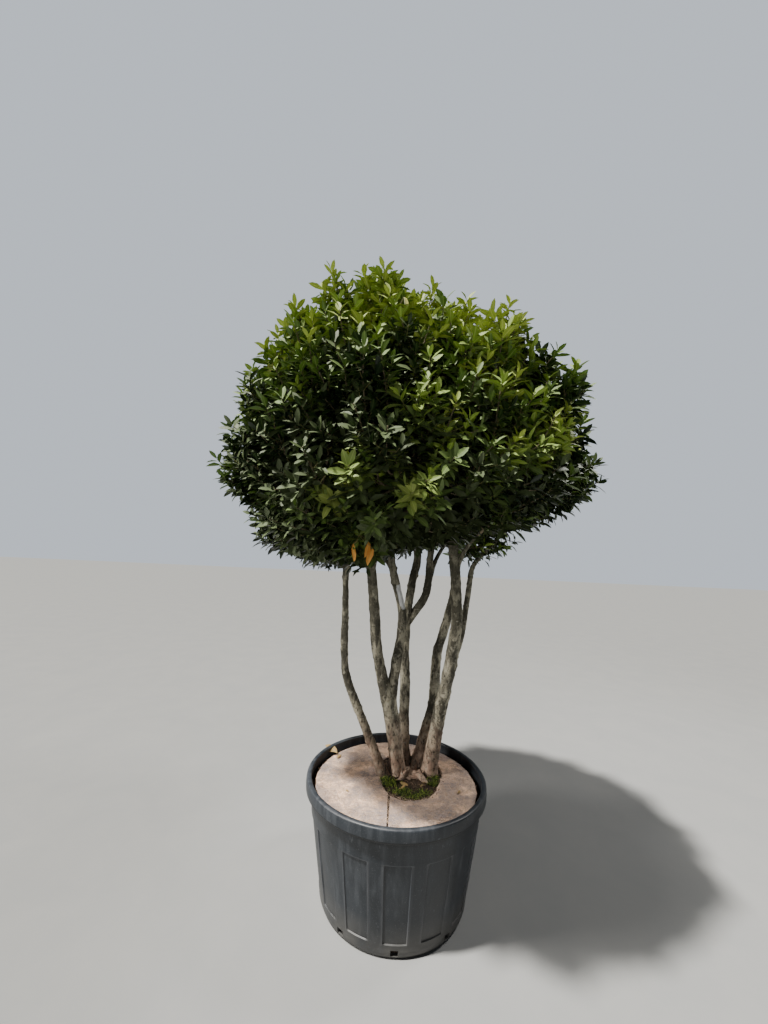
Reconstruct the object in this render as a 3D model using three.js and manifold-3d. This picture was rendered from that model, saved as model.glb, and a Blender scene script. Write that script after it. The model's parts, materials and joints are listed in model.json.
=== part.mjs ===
// A bay shrub with several bare stems and a dense, loosely clipped dome of foliage,
// growing in a ribbed nursery pot under a disc of coir felt.
// Millimetres, +Z up. The origin is the middle of the pot's flat underside, and -Y is the front.
import * as THREE from 'three';
import { mergeVertices } from 'three/addons/utils/BufferGeometryUtils.js';
import Module from 'manifold-3d';

const wasm = await Module();
wasm.setup();

// Clearances
const GAP = 0.3; // between pieces that touch
const LIMB_CLEARANCE = 2; // between a limb and foliage that it passes
const LEAF_CLEARANCE = 6; // between a limb and the middle of a leaf or twig
const CELL_CLEARANCE = 1; // from a leaf or twig to the edge of its mass's space
const CORE_CLEARANCE = 9; // from a core to the edge of its mass's space

// Pot
const POT_HEIGHT = 540;
const RIM_RADIUS = 450;
const LIP_HEIGHT = 50;
const LIP_OVERHANG = 18;
const LIP_SLOPE = 2; // rise of the lip's underside towards its edge
const LIP_ROUND = { outer: 7, drop: 8, inner: 20 };
const BASE_RADIUS = 356;
const FOOT_RADIUS = 332;
const FOOT_ROUND = 42; // height of the rounded edge under the wall
const FOOT_CORNER = { inset: 7, height: 13 };
const WALL = 8;
const FLOOR = 12;
const INNER_EDGE = 526; // height where the inner wall meets the lip's rounded top
const POT_SIDES = 42;
const PANEL_COUNT = 14;
const PANEL_ANGLE = THREE.MathUtils.degToRad(15.6);
const PANEL_DEPTH = 4;
const PANEL_TOP = 385;
const PANEL_BOTTOM = 62;
const DRAIN_COUNT = 9;
const DRAIN_WIDTH = 30;
const DRAIN_HEIGHT = 24;
const DRAIN_LOW = 16; // from the ground to the drain's sill
const DRAIN_DEPTH = 14; // how far a drain reaches in from the wall

// Soil and felt disc
const SOIL_TOP = 495;
const FELT_THICKNESS = 8;
const FELT_RADIUS = 404;
const FELT_STEPS = 21; // steps along each half of the disc's edge
const FELT_HOLE = { x: 70, y: 45, halfWidth: 166, halfLength: 222, sides: 26 };
const HOLE_WAVES = [{ count: 3, depth: 0.05, phase: 0.6 }, { count: 5, depth: 0.035, phase: 0 }];
const FELT_CLEARANCE = 2; // round a stem's foot that the felt reaches
const SLIT = { x: -32, y: -88, width: 20, outerX: -50, outerY: -420, outerWidth: 7 };

// Crown: a dome that is widest at its belt, leans to one side towards its top, and has a sloping hem
const CROWN = { x: -28, radius: 1015, belt: 2220, top: 3190, hem: 1588 };
const CROWN_LEAN = -0.15; // sideways shift of the middle line for each unit of height
const HEM_SLOPE = 0.24; // rise of the hem towards +X
const UPPER_CURVE = 1.6; // 2 is an ellipse, and 1 a cone
const LOWER_CURVE = 3;
const LEAF_OVERHANG = 48; // how far a leaf's tip may pass the crown's outline

// Foliage masses
const CORE_RADIUS = 325;
const CORE_INSET = 100; // from a core's outer face to the crown's outline
const CORE_LEAST = 60; // smallest reach of a core
const CORE_STEP = 4; // step by which a core draws back inside the outline
const TWIGS_PER_MASS = 5;
const TWIG_CHOICES = 40; // directions that a mass tries in turn
const TWIG_SPREAD = 1.25; // 1 spreads the twigs over half a ball, facing out of the crown
const TWIG_APART = THREE.MathUtils.degToRad(32); // least angle between two twigs
const TWIG_RADIUS = 11;
const TWIG_FOOT_RADIUS = 13;
const TWIG_PROUD = 50; // from the core's face to the end of a twig
const LEAVES_PER_TWIG = 4;
const LEAST_LEAVES = 3; // a twig with fewer is left out
const LEAF = { length: 158, width: 66, thickness: 4, sunk: 5 };
const LEAF_SCALE = { least: 0.85, range: 0.25 };
const LEAF_STEP = 12; // between leaves along a twig
const LEAF_TURN = THREE.MathUtils.degToRad(137.5);
const LEAF_TILT = { tip: 56, foot: 78, jitter: 8 }; // degrees between a leaf and its twig
const LEAF_SPOTS = [0.3, 0.5, 0.75, 1]; // parts of a leaf's length that are kept clear
const LEAF_ROOT = 0.4; // part of a leaf's length that may lie near the core
const LEAF_CORE_GAP = 12;

// Rings of foliage masses, from the bottom up: height, distance from the crown's middle line,
// number and first angle in degrees, with 270 at the front.
const RINGS = [
  { name: 'hem', z: 1870, radius: 675, count: 8, first: 0 },
  { name: 'belt', z: 2305, radius: 715, count: 8, first: 22.5 },
  { name: 'shoulder', z: 2715, radius: 450, count: 5, first: 0 },
  { name: 'cap', z: 2900, radius: 0, count: 1, first: 0 },
];

// Stems from the soil to the mass that each one ends in. The radius shrinks from foot to tip.
const STEMS = [
  {
    name: 'stem_middle',
    arms: [
      {
        route: [[12, 72, 470], [-18, 60, 680], [-58, 48, 860], [-97, 38, 1008], [-128, 20, 1150],
          [-146, -16, 1330], [-176, -100, 1586], [-215, -170, 1900]],
        foot: 33, tip: 13, mass: 'shoulder_4',
      },
      {
        route: [[22, 80, 470], [-2, 70, 680], [-34, 62, 860], [-18, 66, 1040], [0, 100, 1140],
          [12, 126, 1290], [-10, 126, 1400], [-64, 120, 1608], [-90, 150, 1960]],
        foot: 30, tip: 10, mass: 'shoulder_3',
      },
    ],
  },
  {
    name: 'stem_back',
    arms: [
      {
        route: [[56, 148, 470], [45, 162, 640], [44, 182, 880], [36, 206, 1110], [46, 226, 1290],
          [70, 256, 1470], [104, 296, 1680], [60, 230, 2100]],
        foot: 30, tip: 13, mass: 'cap_1',
      },
    ],
  },
  {
    name: 'stem_right',
    arms: [
      {
        route: [[178, 84, 470], [206, 58, 700], [262, 18, 1010], [284, -10, 1200], [290, -40, 1340],
          [262, -90, 1605], [222, -150, 1850]],
        foot: 36, tip: 14, mass: 'shoulder_5',
      },
    ],
  },
  {
    name: 'stem_right_back',
    arms: [
      {
        route: [[108, 140, 470], [160, 152, 650], [206, 164, 830], [222, 184, 1070], [252, 194, 1180],
          [288, 200, 1310], [318, 196, 1460], [338, 176, 1720], [316, 150, 1960]],
        foot: 31, tip: 10, mass: 'belt_1',
      },
    ],
  },
  {
    name: 'stem_left',
    arms: [
      {
        route: [[-52, 46, 470], [-156, 28, 705], [-270, 0, 965], [-295, -25, 1120], [-299, -50, 1330],
          [-306, -88, 1560]],
        foot: 24, tip: 14, mass: 'hem_5',
      },
    ],
  },
];
const STEM_SIDES = 8;
const STEM_RINGS = 11;
const STEM_TAPER = 1.5; // 1 tapers evenly, and more keeps a stem thick for longer
const FLARE = { spread: 0.63, height: 55 }; // widening of a stem's foot, and how high it fades out

// Limbs that fork off a stem below the crown. The route starts inside the stem.
const FORKS = [
  {
    name: 'limb_right',
    stem: 'stem_right',
    route: [[270, 8, 1060], [320, 14, 1190], [342, 12, 1320], [364, 10, 1480], [388, 10, 1600]],
    foot: 17,
    tip: 9,
    mass: 'hem_1',
  },
  {
    name: 'limb_back_right',
    stem: 'stem_back',
    route: [[44, 222, 1240], [145, 242, 1391], [170, 250, 1500], [178, 252, 1650], [196, 240, 1860]],
    foot: 25,
    tip: 11,
    mass: 'belt_2',
  },
];
const FORK_RINGS = 7;
const ENTRY_RUN = 70; // straight end of a stem or forked limb

// Boughs inside the crown: the mass that each one feeds, the limb that it leaves, and the height there.
const BOUGHS = [
  { mass: 'hem_2', limb: 'limb_back_right', arm: 0, z: 1440 },
  { mass: 'hem_3', limb: 'stem_back', arm: 0, z: 1560 },
  { mass: 'hem_4', limb: 'stem_middle', arm: 1, z: 1500 },
  { mass: 'hem_6', limb: 'stem_middle', arm: 0, z: 1450 },
  { mass: 'hem_7', limb: 'stem_middle', arm: 0, z: 1480 },
  { mass: 'hem_8', limb: 'stem_right', arm: 0, z: 1500 },
  { mass: 'belt_3', limb: 'stem_back', arm: 0, z: 1900 },
  { mass: 'belt_4', limb: 'stem_middle', arm: 1, z: 1880 },
  { mass: 'belt_5', limb: 'stem_middle', arm: 0, z: 1860 },
  { mass: 'belt_6', limb: 'stem_middle', arm: 0, z: 1960 },
  { mass: 'belt_7', limb: 'stem_right', arm: 0, z: 1930 },
  { mass: 'belt_8', limb: 'stem_right', arm: 0, z: 1820 },
  { mass: 'shoulder_1', limb: 'stem_right_back', arm: 0, z: 1940 },
  { mass: 'shoulder_2', limb: 'stem_back', arm: 0, z: 2140 },
];
const BOUGH_FOOT_RADIUS = 14;
const BOUGH_TIP_RADIUS = 8;
const BOUGH_SHARE = 0.85; // most of its limb's radius that a bough's foot has
const BOUGH_BEND = { lead: 0.3, lift: 0.05, entry: 0.35 }; // parts of the straight way that shape its curve
const BOUGH_LEVEL = 0.35; // how far a bough turns level before it enters its mass
const BOUGH_SIDES = 5;
const BOUGH_RINGS = 4;
const BOUGH_STUB = 30; // bare length of a mass's own stem outside its core
const MASS_STEM = { inner: 13, sides: 6 }; // that stem's radius at the mass's middle, and its sides

const FIRST_SEED = 11;
const SEED_STEP = 7; // between the seeds of two masses
const SAMPLE_STEP = 16; // between the points where foliage is kept clear of a limb

const COLOURS = {
  pot: new THREE.MeshStandardMaterial({ color: '#3b3d42', roughness: 0.62, metalness: 0 }),
  soil: new THREE.MeshStandardMaterial({ color: '#3a2d22', roughness: 0.95, metalness: 0 }),
  felt: new THREE.MeshStandardMaterial({ color: '#b0927a', roughness: 0.95, metalness: 0 }),
  bark: new THREE.MeshStandardMaterial({ color: '#8b7f6d', roughness: 0.85, metalness: 0 }),
  leaf: new THREE.MeshStandardMaterial({ color: '#3b5722', roughness: 0.4, metalness: 0 }),
};

const UP = new THREE.Vector3(0, 0, 1);
const FRONT = -Math.PI / 2;
const group = new THREE.Group();

// A seeded source of numbers from 0 to 1
function randomFrom(seed) {
  let state = seed;
  return () => {
    state = (state + 0x6d2b79f5) | 0;
    let mixed = Math.imul(state ^ (state >>> 15), 1 | state);
    mixed = (mixed + Math.imul(mixed ^ (mixed >>> 7), 61 | mixed)) ^ mixed;
    return ((mixed ^ (mixed >>> 14)) >>> 0) / 2 ** 32;
  };
}

// Signed volume of an indexed list of corners, six times over
function signedVolume(corners, faces) {
  const [a, b, c] = [new THREE.Vector3(), new THREE.Vector3(), new THREE.Vector3()];
  let sum = 0;
  for (let i = 0; i < faces.length; i += 3) {
    a.fromArray(corners, 3 * faces[i]);
    b.fromArray(corners, 3 * faces[i + 1]);
    c.fromArray(corners, 3 * faces[i + 2]);
    sum += a.dot(b.cross(c));
  }
  return sum;
}

// A closed geometry becomes a solid with its faces pointing out
function solidOf(geometry) {
  const bare = geometry.clone();
  bare.deleteAttribute('normal');
  bare.deleteAttribute('uv');
  const merged = mergeVertices(bare, 1e-3);
  const faces = [];
  const index = merged.index.array;
  for (let i = 0; i < index.length; i += 3) {
    const [a, b, c] = [index[i], index[i + 1], index[i + 2]];
    if (a !== b && b !== c && a !== c) faces.push(a, b, c);
  }
  const corners = merged.attributes.position.array;
  if (signedVolume(corners, faces) < 0) faces.reverse();
  return new wasm.Manifold(new wasm.Mesh({
    numProp: 3,
    vertProperties: new Float32Array(corners),
    triVerts: new Uint32Array(faces),
  }));
}

// The outer skin of the largest body in a solid: loose scraps are dropped and sealed hollows filled
function largestBody(solid) {
  const { vertProperties, triVerts: faces } = solid.getMesh();
  const owner = Array.from({ length: vertProperties.length / 3 }, (_, i) => i);
  const rootOf = (i) => {
    let at = i;
    while (owner[at] !== at) {
      owner[at] = owner[owner[at]];
      at = owner[at];
    }
    return at;
  };
  for (let i = 0; i < faces.length; i += 3) {
    owner[rootOf(faces[i + 1])] = rootOf(faces[i]);
    owner[rootOf(faces[i + 2])] = rootOf(faces[i]);
  }
  const shells = new Map();
  for (let i = 0; i < faces.length; i += 3) {
    const root = rootOf(faces[i]);
    if (!shells.has(root)) shells.set(root, []);
    shells.get(root).push(faces[i], faces[i + 1], faces[i + 2]);
  }
  const bySize = [...shells.values()].sort(
    (one, other) => signedVolume(vertProperties, other) - signedVolume(vertProperties, one),
  );
  return new wasm.Manifold(new wasm.Mesh({
    numProp: 3,
    vertProperties,
    triVerts: new Uint32Array(bySize[0]),
  }));
}

function addPiece(name, solid, material) {
  const mesh = solid.getMesh();
  const geometry = new THREE.BufferGeometry();
  const corners = new Float32Array(mesh.vertProperties);
  geometry.setAttribute('position', new THREE.BufferAttribute(corners, 3));
  geometry.setIndex(new THREE.BufferAttribute(new Uint32Array(mesh.triVerts), 1));
  geometry.computeVertexNormals();
  const piece = new THREE.Mesh(geometry, material.clone());
  piece.name = name;
  group.add(piece);
}

// A profile of [radius, height] corners turned round the Z axis
function turned(profile, sides) {
  const points = profile.map(([radius, height]) => new THREE.Vector2(radius, height));
  return solidOf(new THREE.LatheGeometry(points, sides).rotateX(Math.PI / 2));
}

// An outline in the XY plane, drawn out upwards
function drawnUp(shape, low, height, steps) {
  const settings = { depth: height, bevelEnabled: false, curveSegments: steps };
  return solidOf(new THREE.ExtrudeGeometry(shape, settings).translate(0, 0, low));
}

// Pot

const bodyTop = POT_HEIGHT - LIP_HEIGHT;
const bodyTopRadius = RIM_RADIUS - LIP_OVERHANG;

// Outer radius of the tapering wall at a height
function wallRadius(z) {
  return BASE_RADIUS + ((bodyTopRadius - BASE_RADIUS) * (z - FOOT_ROUND)) / (bodyTop - FOOT_ROUND);
}

// Inner radius of the wall at a height, up to its top edge under the lip
function innerRadius(z) {
  const foot = wallRadius(FLOOR) - WALL;
  const brim = bodyTopRadius - WALL;
  return foot + ((brim - foot) * (z - FLOOR)) / (INNER_EDGE - FLOOR);
}

// Pie slices round the axis, one for each panel
function panelSlices() {
  const reach = 2 * RIM_RADIUS;
  const half = PANEL_ANGLE / 2;
  let slices = null;
  for (let i = 0; i < PANEL_COUNT; i += 1) {
    const angle = FRONT + (i * 2 * Math.PI) / PANEL_COUNT;
    const shape = new THREE.Shape();
    shape.moveTo(0, 0);
    shape.lineTo(reach * Math.cos(angle - half), reach * Math.sin(angle - half));
    shape.lineTo(reach * Math.cos(angle + half), reach * Math.sin(angle + half));
    shape.closePath();
    const wedge = drawnUp(shape, 0, POT_HEIGHT, 1);
    slices = slices ? slices.add(wedge) : wedge;
  }
  return slices;
}

// The ring of wall that the panels are sunk into
function panelBand() {
  return turned([
    [wallRadius(PANEL_BOTTOM) - PANEL_DEPTH, PANEL_BOTTOM],
    [RIM_RADIUS, PANEL_BOTTOM],
    [RIM_RADIUS, PANEL_TOP],
    [wallRadius(PANEL_TOP) - PANEL_DEPTH, PANEL_TOP],
    [wallRadius(PANEL_BOTTOM) - PANEL_DEPTH, PANEL_BOTTOM],
  ], POT_SIDES);
}

// Short bars through the foot of the wall, one for each drain
function drainBars() {
  const inner = BASE_RADIUS - DRAIN_DEPTH;
  let bars = null;
  for (let i = 0; i < DRAIN_COUNT; i += 1) {
    const bar = new THREE.BoxGeometry(2 * DRAIN_DEPTH, DRAIN_WIDTH, DRAIN_HEIGHT);
    bar.translate(inner + DRAIN_DEPTH, 0, DRAIN_LOW + DRAIN_HEIGHT / 2);
    bar.rotateZ(FRONT + (i * 2 * Math.PI) / DRAIN_COUNT);
    bars = bars ? bars.add(solidOf(bar)) : solidOf(bar);
  }
  return bars;
}

function makePot() {
  const body = turned([
    [0, 0],
    [FOOT_RADIUS, 0],
    [BASE_RADIUS - FOOT_CORNER.inset, FOOT_CORNER.height],
    [BASE_RADIUS, FOOT_ROUND],
    [bodyTopRadius, bodyTop],
    [RIM_RADIUS, bodyTop + LIP_SLOPE],
    [RIM_RADIUS, POT_HEIGHT - LIP_ROUND.drop],
    [RIM_RADIUS - LIP_ROUND.outer, POT_HEIGHT],
    [RIM_RADIUS - LIP_ROUND.inner, POT_HEIGHT],
    [innerRadius(INNER_EDGE), INNER_EDGE],
    [innerRadius(FLOOR), FLOOR],
    [0, FLOOR],
  ], POT_SIDES);
  const panels = panelBand().intersect(panelSlices());
  return body.subtract(panels).subtract(drainBars());
}

function makeSoil() {
  const low = FLOOR + GAP;
  const foot = innerRadius(low) - GAP;
  const brim = innerRadius(SOIL_TOP) - GAP;
  return turned([[0, low], [foot, low], [brim, SOIL_TOP], [0, SOIL_TOP]], POT_SIDES);
}

// The cut hole in the felt, with a wandering edge
function feltHole() {
  const hole = new THREE.Shape();
  for (let i = 0; i < FELT_HOLE.sides; i += 1) {
    const angle = (i * 2 * Math.PI) / FELT_HOLE.sides;
    const wander = HOLE_WAVES.reduce(
      (sum, wave) => sum + wave.depth * Math.sin(wave.count * angle + wave.phase),
      1,
    );
    const x = FELT_HOLE.x + FELT_HOLE.halfWidth * wander * Math.cos(angle);
    const y = FELT_HOLE.y + FELT_HOLE.halfLength * wander * Math.sin(angle);
    if (i === 0) hole.moveTo(x, y);
    else hole.lineTo(x, y);
  }
  hole.closePath();
  return hole;
}

// The slit that runs from the hole to the disc's front edge
function feltSlit() {
  const slit = new THREE.Shape();
  slit.moveTo(SLIT.x - SLIT.width / 2, SLIT.y);
  slit.lineTo(SLIT.outerX - SLIT.outerWidth / 2, SLIT.outerY);
  slit.lineTo(SLIT.outerX + SLIT.outerWidth / 2, SLIT.outerY);
  slit.lineTo(SLIT.x + SLIT.width / 2, SLIT.y);
  slit.closePath();
  return slit;
}

function makeFelt() {
  const low = SOIL_TOP + GAP;
  const disc = new THREE.Shape();
  disc.absarc(0, 0, FELT_RADIUS, 0, 2 * Math.PI);
  let felt = drawnUp(disc, low, FELT_THICKNESS, FELT_STEPS);
  for (const shape of [feltHole(), feltSlit()]) {
    felt = felt.subtract(drawnUp(shape, low - FELT_THICKNESS, 3 * FELT_THICKNESS, 1));
  }
  for (const stem of STEMS) felt = felt.subtract(fattened(stem.name, FELT_CLEARANCE));
  return largestBody(felt);
}

// Crown

// How much of the way down from the belt to the hem a height is
function belowBelt(z) {
  return THREE.MathUtils.clamp((CROWN.belt - z) / (CROWN.belt - CROWN.hem), 0, 1);
}

function middleLine(z) {
  return CROWN.x + CROWN_LEAN * (z - CROWN.belt);
}

// Whether a point is inside the crown's outline, by at least an inset
function insideCrown(point, inset) {
  const across = point.x - middleLine(point.z);
  const level = point.z - HEM_SLOPE * across * belowBelt(point.z);
  const upper = level > CROWN.belt;
  const end = upper ? CROWN.top - inset : CROWN.hem + inset;
  const part = (level - CROWN.belt) / (end - CROWN.belt);
  if (part >= 1) return false;
  const power = upper ? UPPER_CURVE : LOWER_CURVE;
  const radius = (CROWN.radius - inset) * (1 - part ** power) ** (1 / power);
  return Math.hypot(across, point.y) < radius;
}

// The middles of the foliage masses
const masses = new Map();
for (const ring of RINGS) {
  for (let i = 0; i < ring.count; i += 1) {
    const angle = THREE.MathUtils.degToRad(ring.first + (i * 360) / ring.count);
    const across = ring.radius * Math.cos(angle);
    const rise = HEM_SLOPE * across * belowBelt(ring.z);
    const middle = new THREE.Vector3(
      middleLine(ring.z) + across,
      ring.radius * Math.sin(angle),
      ring.z + rise,
    );
    const name = `${ring.name}_${i + 1}`;
    masses.set(name, { name, middle });
  }
}

// The planes halfway to the other masses bound each mass's space
for (const mass of masses.values()) {
  mass.walls = [];
  for (const other of masses.values()) {
    if (other === mass) continue;
    const across = new THREE.Vector3().subVectors(other.middle, mass.middle);
    mass.walls.push({ normal: across.clone().normalize(), reach: across.length() / 2 });
  }
}

// How far a mass's core reaches in a direction
function coreReach(mass, direction) {
  let reach = CORE_RADIUS;
  for (const wall of mass.walls) {
    const slope = direction.dot(wall.normal);
    if (slope > 1e-6) reach = Math.min(reach, (wall.reach - CORE_CLEARANCE) / slope);
  }
  const point = new THREE.Vector3();
  const inside = () => insideCrown(
    point.copy(mass.middle).addScaledVector(direction, reach),
    CORE_INSET,
  );
  while (reach > CORE_LEAST && !inside()) reach -= CORE_STEP;
  return reach;
}

// Limbs

// A tapering tube along a curve. radiusAt(t) is its radius, and extra fattens it all over.
function tube(curve, radiusAt, sides, rings, extra = 0) {
  const rod = new THREE.CylinderGeometry(1, 1, 1, sides, rings);
  const frames = curve.computeFrenetFrames(rings, false);
  const position = rod.attributes.position;
  for (let i = 0; i < position.count; i += 1) {
    const t = position.getY(i) + 0.5;
    const ring = Math.round(t * rings);
    const radius = radiusAt(t) + extra;
    const point = curve.getPointAt(t)
      .addScaledVector(frames.normals[ring], radius * position.getX(i))
      .addScaledVector(frames.binormals[ring], radius * position.getZ(i));
    position.setXYZ(i, point.x, point.y, point.z);
  }
  return solidOf(rod);
}

// A straight tapering rod between two points
function rod(from, to, footRadius, tipRadius, sides) {
  const radiusAt = (t) => THREE.MathUtils.lerp(footRadius, tipRadius, t);
  return tube(new THREE.LineCurve3(from, to), radiusAt, sides, 1);
}

const limbs = [];

// Notes a limb's curve, its radius along it, and how its solid is stepped
function addLimb(name, arm, curve, radiusAt, rings, sides = STEM_SIDES) {
  const limb = { name, arm, curve, radiusAt, rings, sides };
  limbs.push(limb);
  return limb;
}

function limbSolid(limb, extra = 0) {
  return tube(limb.curve, limb.radiusAt, limb.sides, limb.rings, extra);
}

// What a stem or limb takes up, fattened by a clearance
function fattened(name, clearance) {
  return limbs
    .filter((limb) => limb.name === name)
    .map((limb) => limbSolid(limb, clearance))
    .reduce((sum, next) => sum.add(next));
}

// Where a limb ends: outside the core of the mass that it feeds, pointing at its middle.
// Level is how nearly the limb arrives at the height of that middle, from 0 to 1.
function limbEnd(massName, from, level) {
  const mass = masses.get(massName);
  const direction = new THREE.Vector3().subVectors(from, mass.middle);
  direction.z *= 1 - level;
  direction.normalize();
  const reach = coreReach(mass, direction) + BOUGH_STUB;
  mass.entry = { direction, reach };
  return mass.middle.clone().addScaledVector(direction, reach);
}

// The curve of a stem's arm or forked limb, through its route and on to its mass
function curveTo(arm) {
  const route = arm.route.map((corner) => new THREE.Vector3(...corner));
  const tip = limbEnd(arm.mass, route[route.length - 1], 0);
  const { direction } = masses.get(arm.mass).entry;
  route.push(tip.clone().addScaledVector(direction, ENTRY_RUN), tip);
  return new THREE.CatmullRomCurve3(route, false, 'catmullrom', 0.5);
}

function taper(arm, t) {
  return arm.foot + (arm.tip - arm.foot) * t ** STEM_TAPER;
}

function makeStem(stem, earlier) {
  stem.arms.forEach((arm, index) => {
    const curve = curveTo(arm);
    const length = curve.getLength();
    const flare = (t) => 1 + FLARE.spread * Math.exp((-t * length) / FLARE.height);
    addLimb(stem.name, index, curve, (t) => taper(arm, t) * flare(t), STEM_RINGS);
  });
  const wide = 2 * RIM_RADIUS;
  const below = new THREE.BoxGeometry(wide, wide, SOIL_TOP).translate(0, 0, SOIL_TOP / 2 + GAP);
  let solid = fattened(stem.name, 0).subtract(solidOf(below));
  for (const other of earlier) solid = solid.subtract(fattened(other.name, GAP));
  return largestBody(solid);
}

function makeFork(fork) {
  const limb = addLimb(fork.name, 0, curveTo(fork), (t) => taper(fork, t), FORK_RINGS);
  return largestBody(limbSolid(limb).subtract(fattened(fork.stem, GAP)));
}

// The place along a limb, from 0 to 1, where it has a height
function placeAtHeight(limb, z) {
  let [low, high] = [0, 1];
  while (high - low > 1e-3) {
    const middle = (low + high) / 2;
    if (limb.curve.getPointAt(middle).z < z) low = middle;
    else high = middle;
  }
  return low;
}

function makeBough(bough) {
  const limb = limbs.find((one) => one.name === bough.limb && one.arm === bough.arm);
  const place = placeAtHeight(limb, bough.z);
  const start = limb.curve.getPointAt(place);
  const tip = limbEnd(bough.mass, start, BOUGH_LEVEL);
  const span = start.distanceTo(tip);
  const lead = start.clone()
    .addScaledVector(limb.curve.getTangentAt(place), span * BOUGH_BEND.lead)
    .addScaledVector(UP, span * BOUGH_BEND.lift);
  const before = tip.clone()
    .addScaledVector(masses.get(bough.mass).entry.direction, span * BOUGH_BEND.entry);
  const curve = new THREE.CubicBezierCurve3(start, lead, before, tip);
  const foot = Math.min(BOUGH_FOOT_RADIUS, limb.radiusAt(place) * BOUGH_SHARE);
  const radiusAt = (t) => THREE.MathUtils.lerp(foot, BOUGH_TIP_RADIUS, t);
  const own = addLimb(`bough_${bough.mass}`, 0, curve, radiusAt, BOUGH_RINGS, BOUGH_SIDES);
  return largestBody(limbSolid(own).subtract(fattened(bough.limb, GAP)));
}

const woody = new Map();
STEMS.forEach((stem, index) => woody.set(stem.name, makeStem(stem, STEMS.slice(0, index))));
for (const fork of FORKS) woody.set(fork.name, makeFork(fork));
for (const bough of BOUGHS) woody.set(`bough_${bough.mass}`, makeBough(bough));

// Points and radii along each limb, where foliage is kept clear of it
for (const limb of limbs) {
  const count = Math.ceil(limb.curve.getLength() / SAMPLE_STEP);
  limb.samples = Array.from({ length: count + 1 }, (_, i) => ({
    point: limb.curve.getPointAt(i / count),
    radius: limb.radiusAt(i / count),
  }));
}

// Foliage

function insideSpace(mass, point, clearance) {
  const from = new THREE.Vector3().subVectors(point, mass.middle);
  return mass.walls.every((wall) => from.dot(wall.normal) < wall.reach - clearance);
}

function clearOfLimbs(point, spread) {
  return limbs.every((limb) => limb.samples.every(
    (sample) => sample.point.distanceTo(point) > sample.radius + LEAF_CLEARANCE + spread,
  ));
}

// A faceted ball, drawn in to its mass's space and the crown's outline
function makeCore(mass) {
  const ball = new THREE.IcosahedronGeometry(1, 1);
  const position = ball.attributes.position;
  const corner = new THREE.Vector3();
  for (let i = 0; i < position.count; i += 1) {
    corner.fromBufferAttribute(position, i).normalize();
    corner.multiplyScalar(coreReach(mass, corner)).add(mass.middle);
    position.setXYZ(i, corner.x, corner.y, corner.z);
  }
  return solidOf(ball);
}

// Whether a leaf stays clear of the limbs and, past its root, of the core
function leafIsClear(mass, root, along, length, width) {
  return LEAF_SPOTS.every((part) => {
    const spot = root.clone().addScaledVector(along, part * length);
    const breadth = width * Math.max(0, 0.5 - Math.abs(part - 0.5));
    if (!clearOfLimbs(spot, breadth)) return false;
    const outward = new THREE.Vector3().subVectors(spot, mass.middle);
    const distance = outward.length();
    return part < LEAF_ROOT || distance > coreReach(mass, outward.normalize()) + LEAF_CORE_GAP;
  });
}

// A leaf with its root inside the twig, and null where it would leave the mass's space
function makeLeaf(mass, root, along, side, scale) {
  const length = LEAF.length * scale;
  const width = LEAF.width * scale;
  const blade = new THREE.OctahedronGeometry(1);
  blade.scale(length / 2, width / 2, LEAF.thickness / 2);
  blade.translate(length / 2 - LEAF.sunk, 0, 0);
  const face = new THREE.Vector3().crossVectors(along, side).normalize();
  blade.applyMatrix4(new THREE.Matrix4().makeBasis(along, side, face).setPosition(root));
  const corner = new THREE.Vector3();
  for (let i = 0; i < blade.attributes.position.count; i += 1) {
    corner.fromBufferAttribute(blade.attributes.position, i);
    if (!insideSpace(mass, corner, CELL_CLEARANCE)) return null;
    if (!insideCrown(corner, -LEAF_OVERHANG)) return null;
  }
  return leafIsClear(mass, root, along, length, width) ? solidOf(blade) : null;
}

// Directions spread evenly round the way out of the crown, nearest first
function twigDirections(mass, random) {
  const outward = new THREE.Vector3(CROWN.x, 0, CROWN.belt).negate().add(mass.middle).normalize();
  const turn = new THREE.Quaternion().setFromUnitVectors(UP, outward);
  const spin = random() * 2 * Math.PI;
  return Array.from({ length: TWIG_CHOICES }, (_, i) => {
    const height = 1 - (TWIG_SPREAD * (i + 0.5)) / TWIG_CHOICES;
    const angle = spin + i * LEAF_TURN;
    const across = Math.sqrt(1 - height * height);
    return new THREE.Vector3(across * Math.cos(angle), across * Math.sin(angle), height)
      .applyQuaternion(turn);
  });
}

// The leaves of one twig, turning round it from its end downwards
function twigLeaves(mass, end, direction, random) {
  const leaves = [];
  const side = new THREE.Vector3().crossVectors(direction, new THREE.Vector3(0, 1, 0)).normalize();
  const spin = random() * 2 * Math.PI;
  for (let i = 0; i < LEAVES_PER_TWIG; i += 1) {
    const round = side.clone().applyAxisAngle(direction, spin + i * LEAF_TURN);
    const lower = i / (LEAVES_PER_TWIG - 1);
    const mean = THREE.MathUtils.lerp(LEAF_TILT.tip, LEAF_TILT.foot, lower);
    const tilt = THREE.MathUtils.degToRad(mean + (random() - 0.5) * LEAF_TILT.jitter);
    const along = direction.clone().multiplyScalar(Math.cos(tilt)).addScaledVector(round, Math.sin(tilt));
    const root = end.clone().addScaledVector(direction, -LEAF_STEP * (i + 0.6));
    const flank = new THREE.Vector3().crossVectors(direction, along).normalize();
    const scale = LEAF_SCALE.least + random() * LEAF_SCALE.range;
    const leaf = makeLeaf(mass, root, along, flank, scale);
    if (leaf) leaves.push(leaf);
  }
  return leaves;
}

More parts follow.
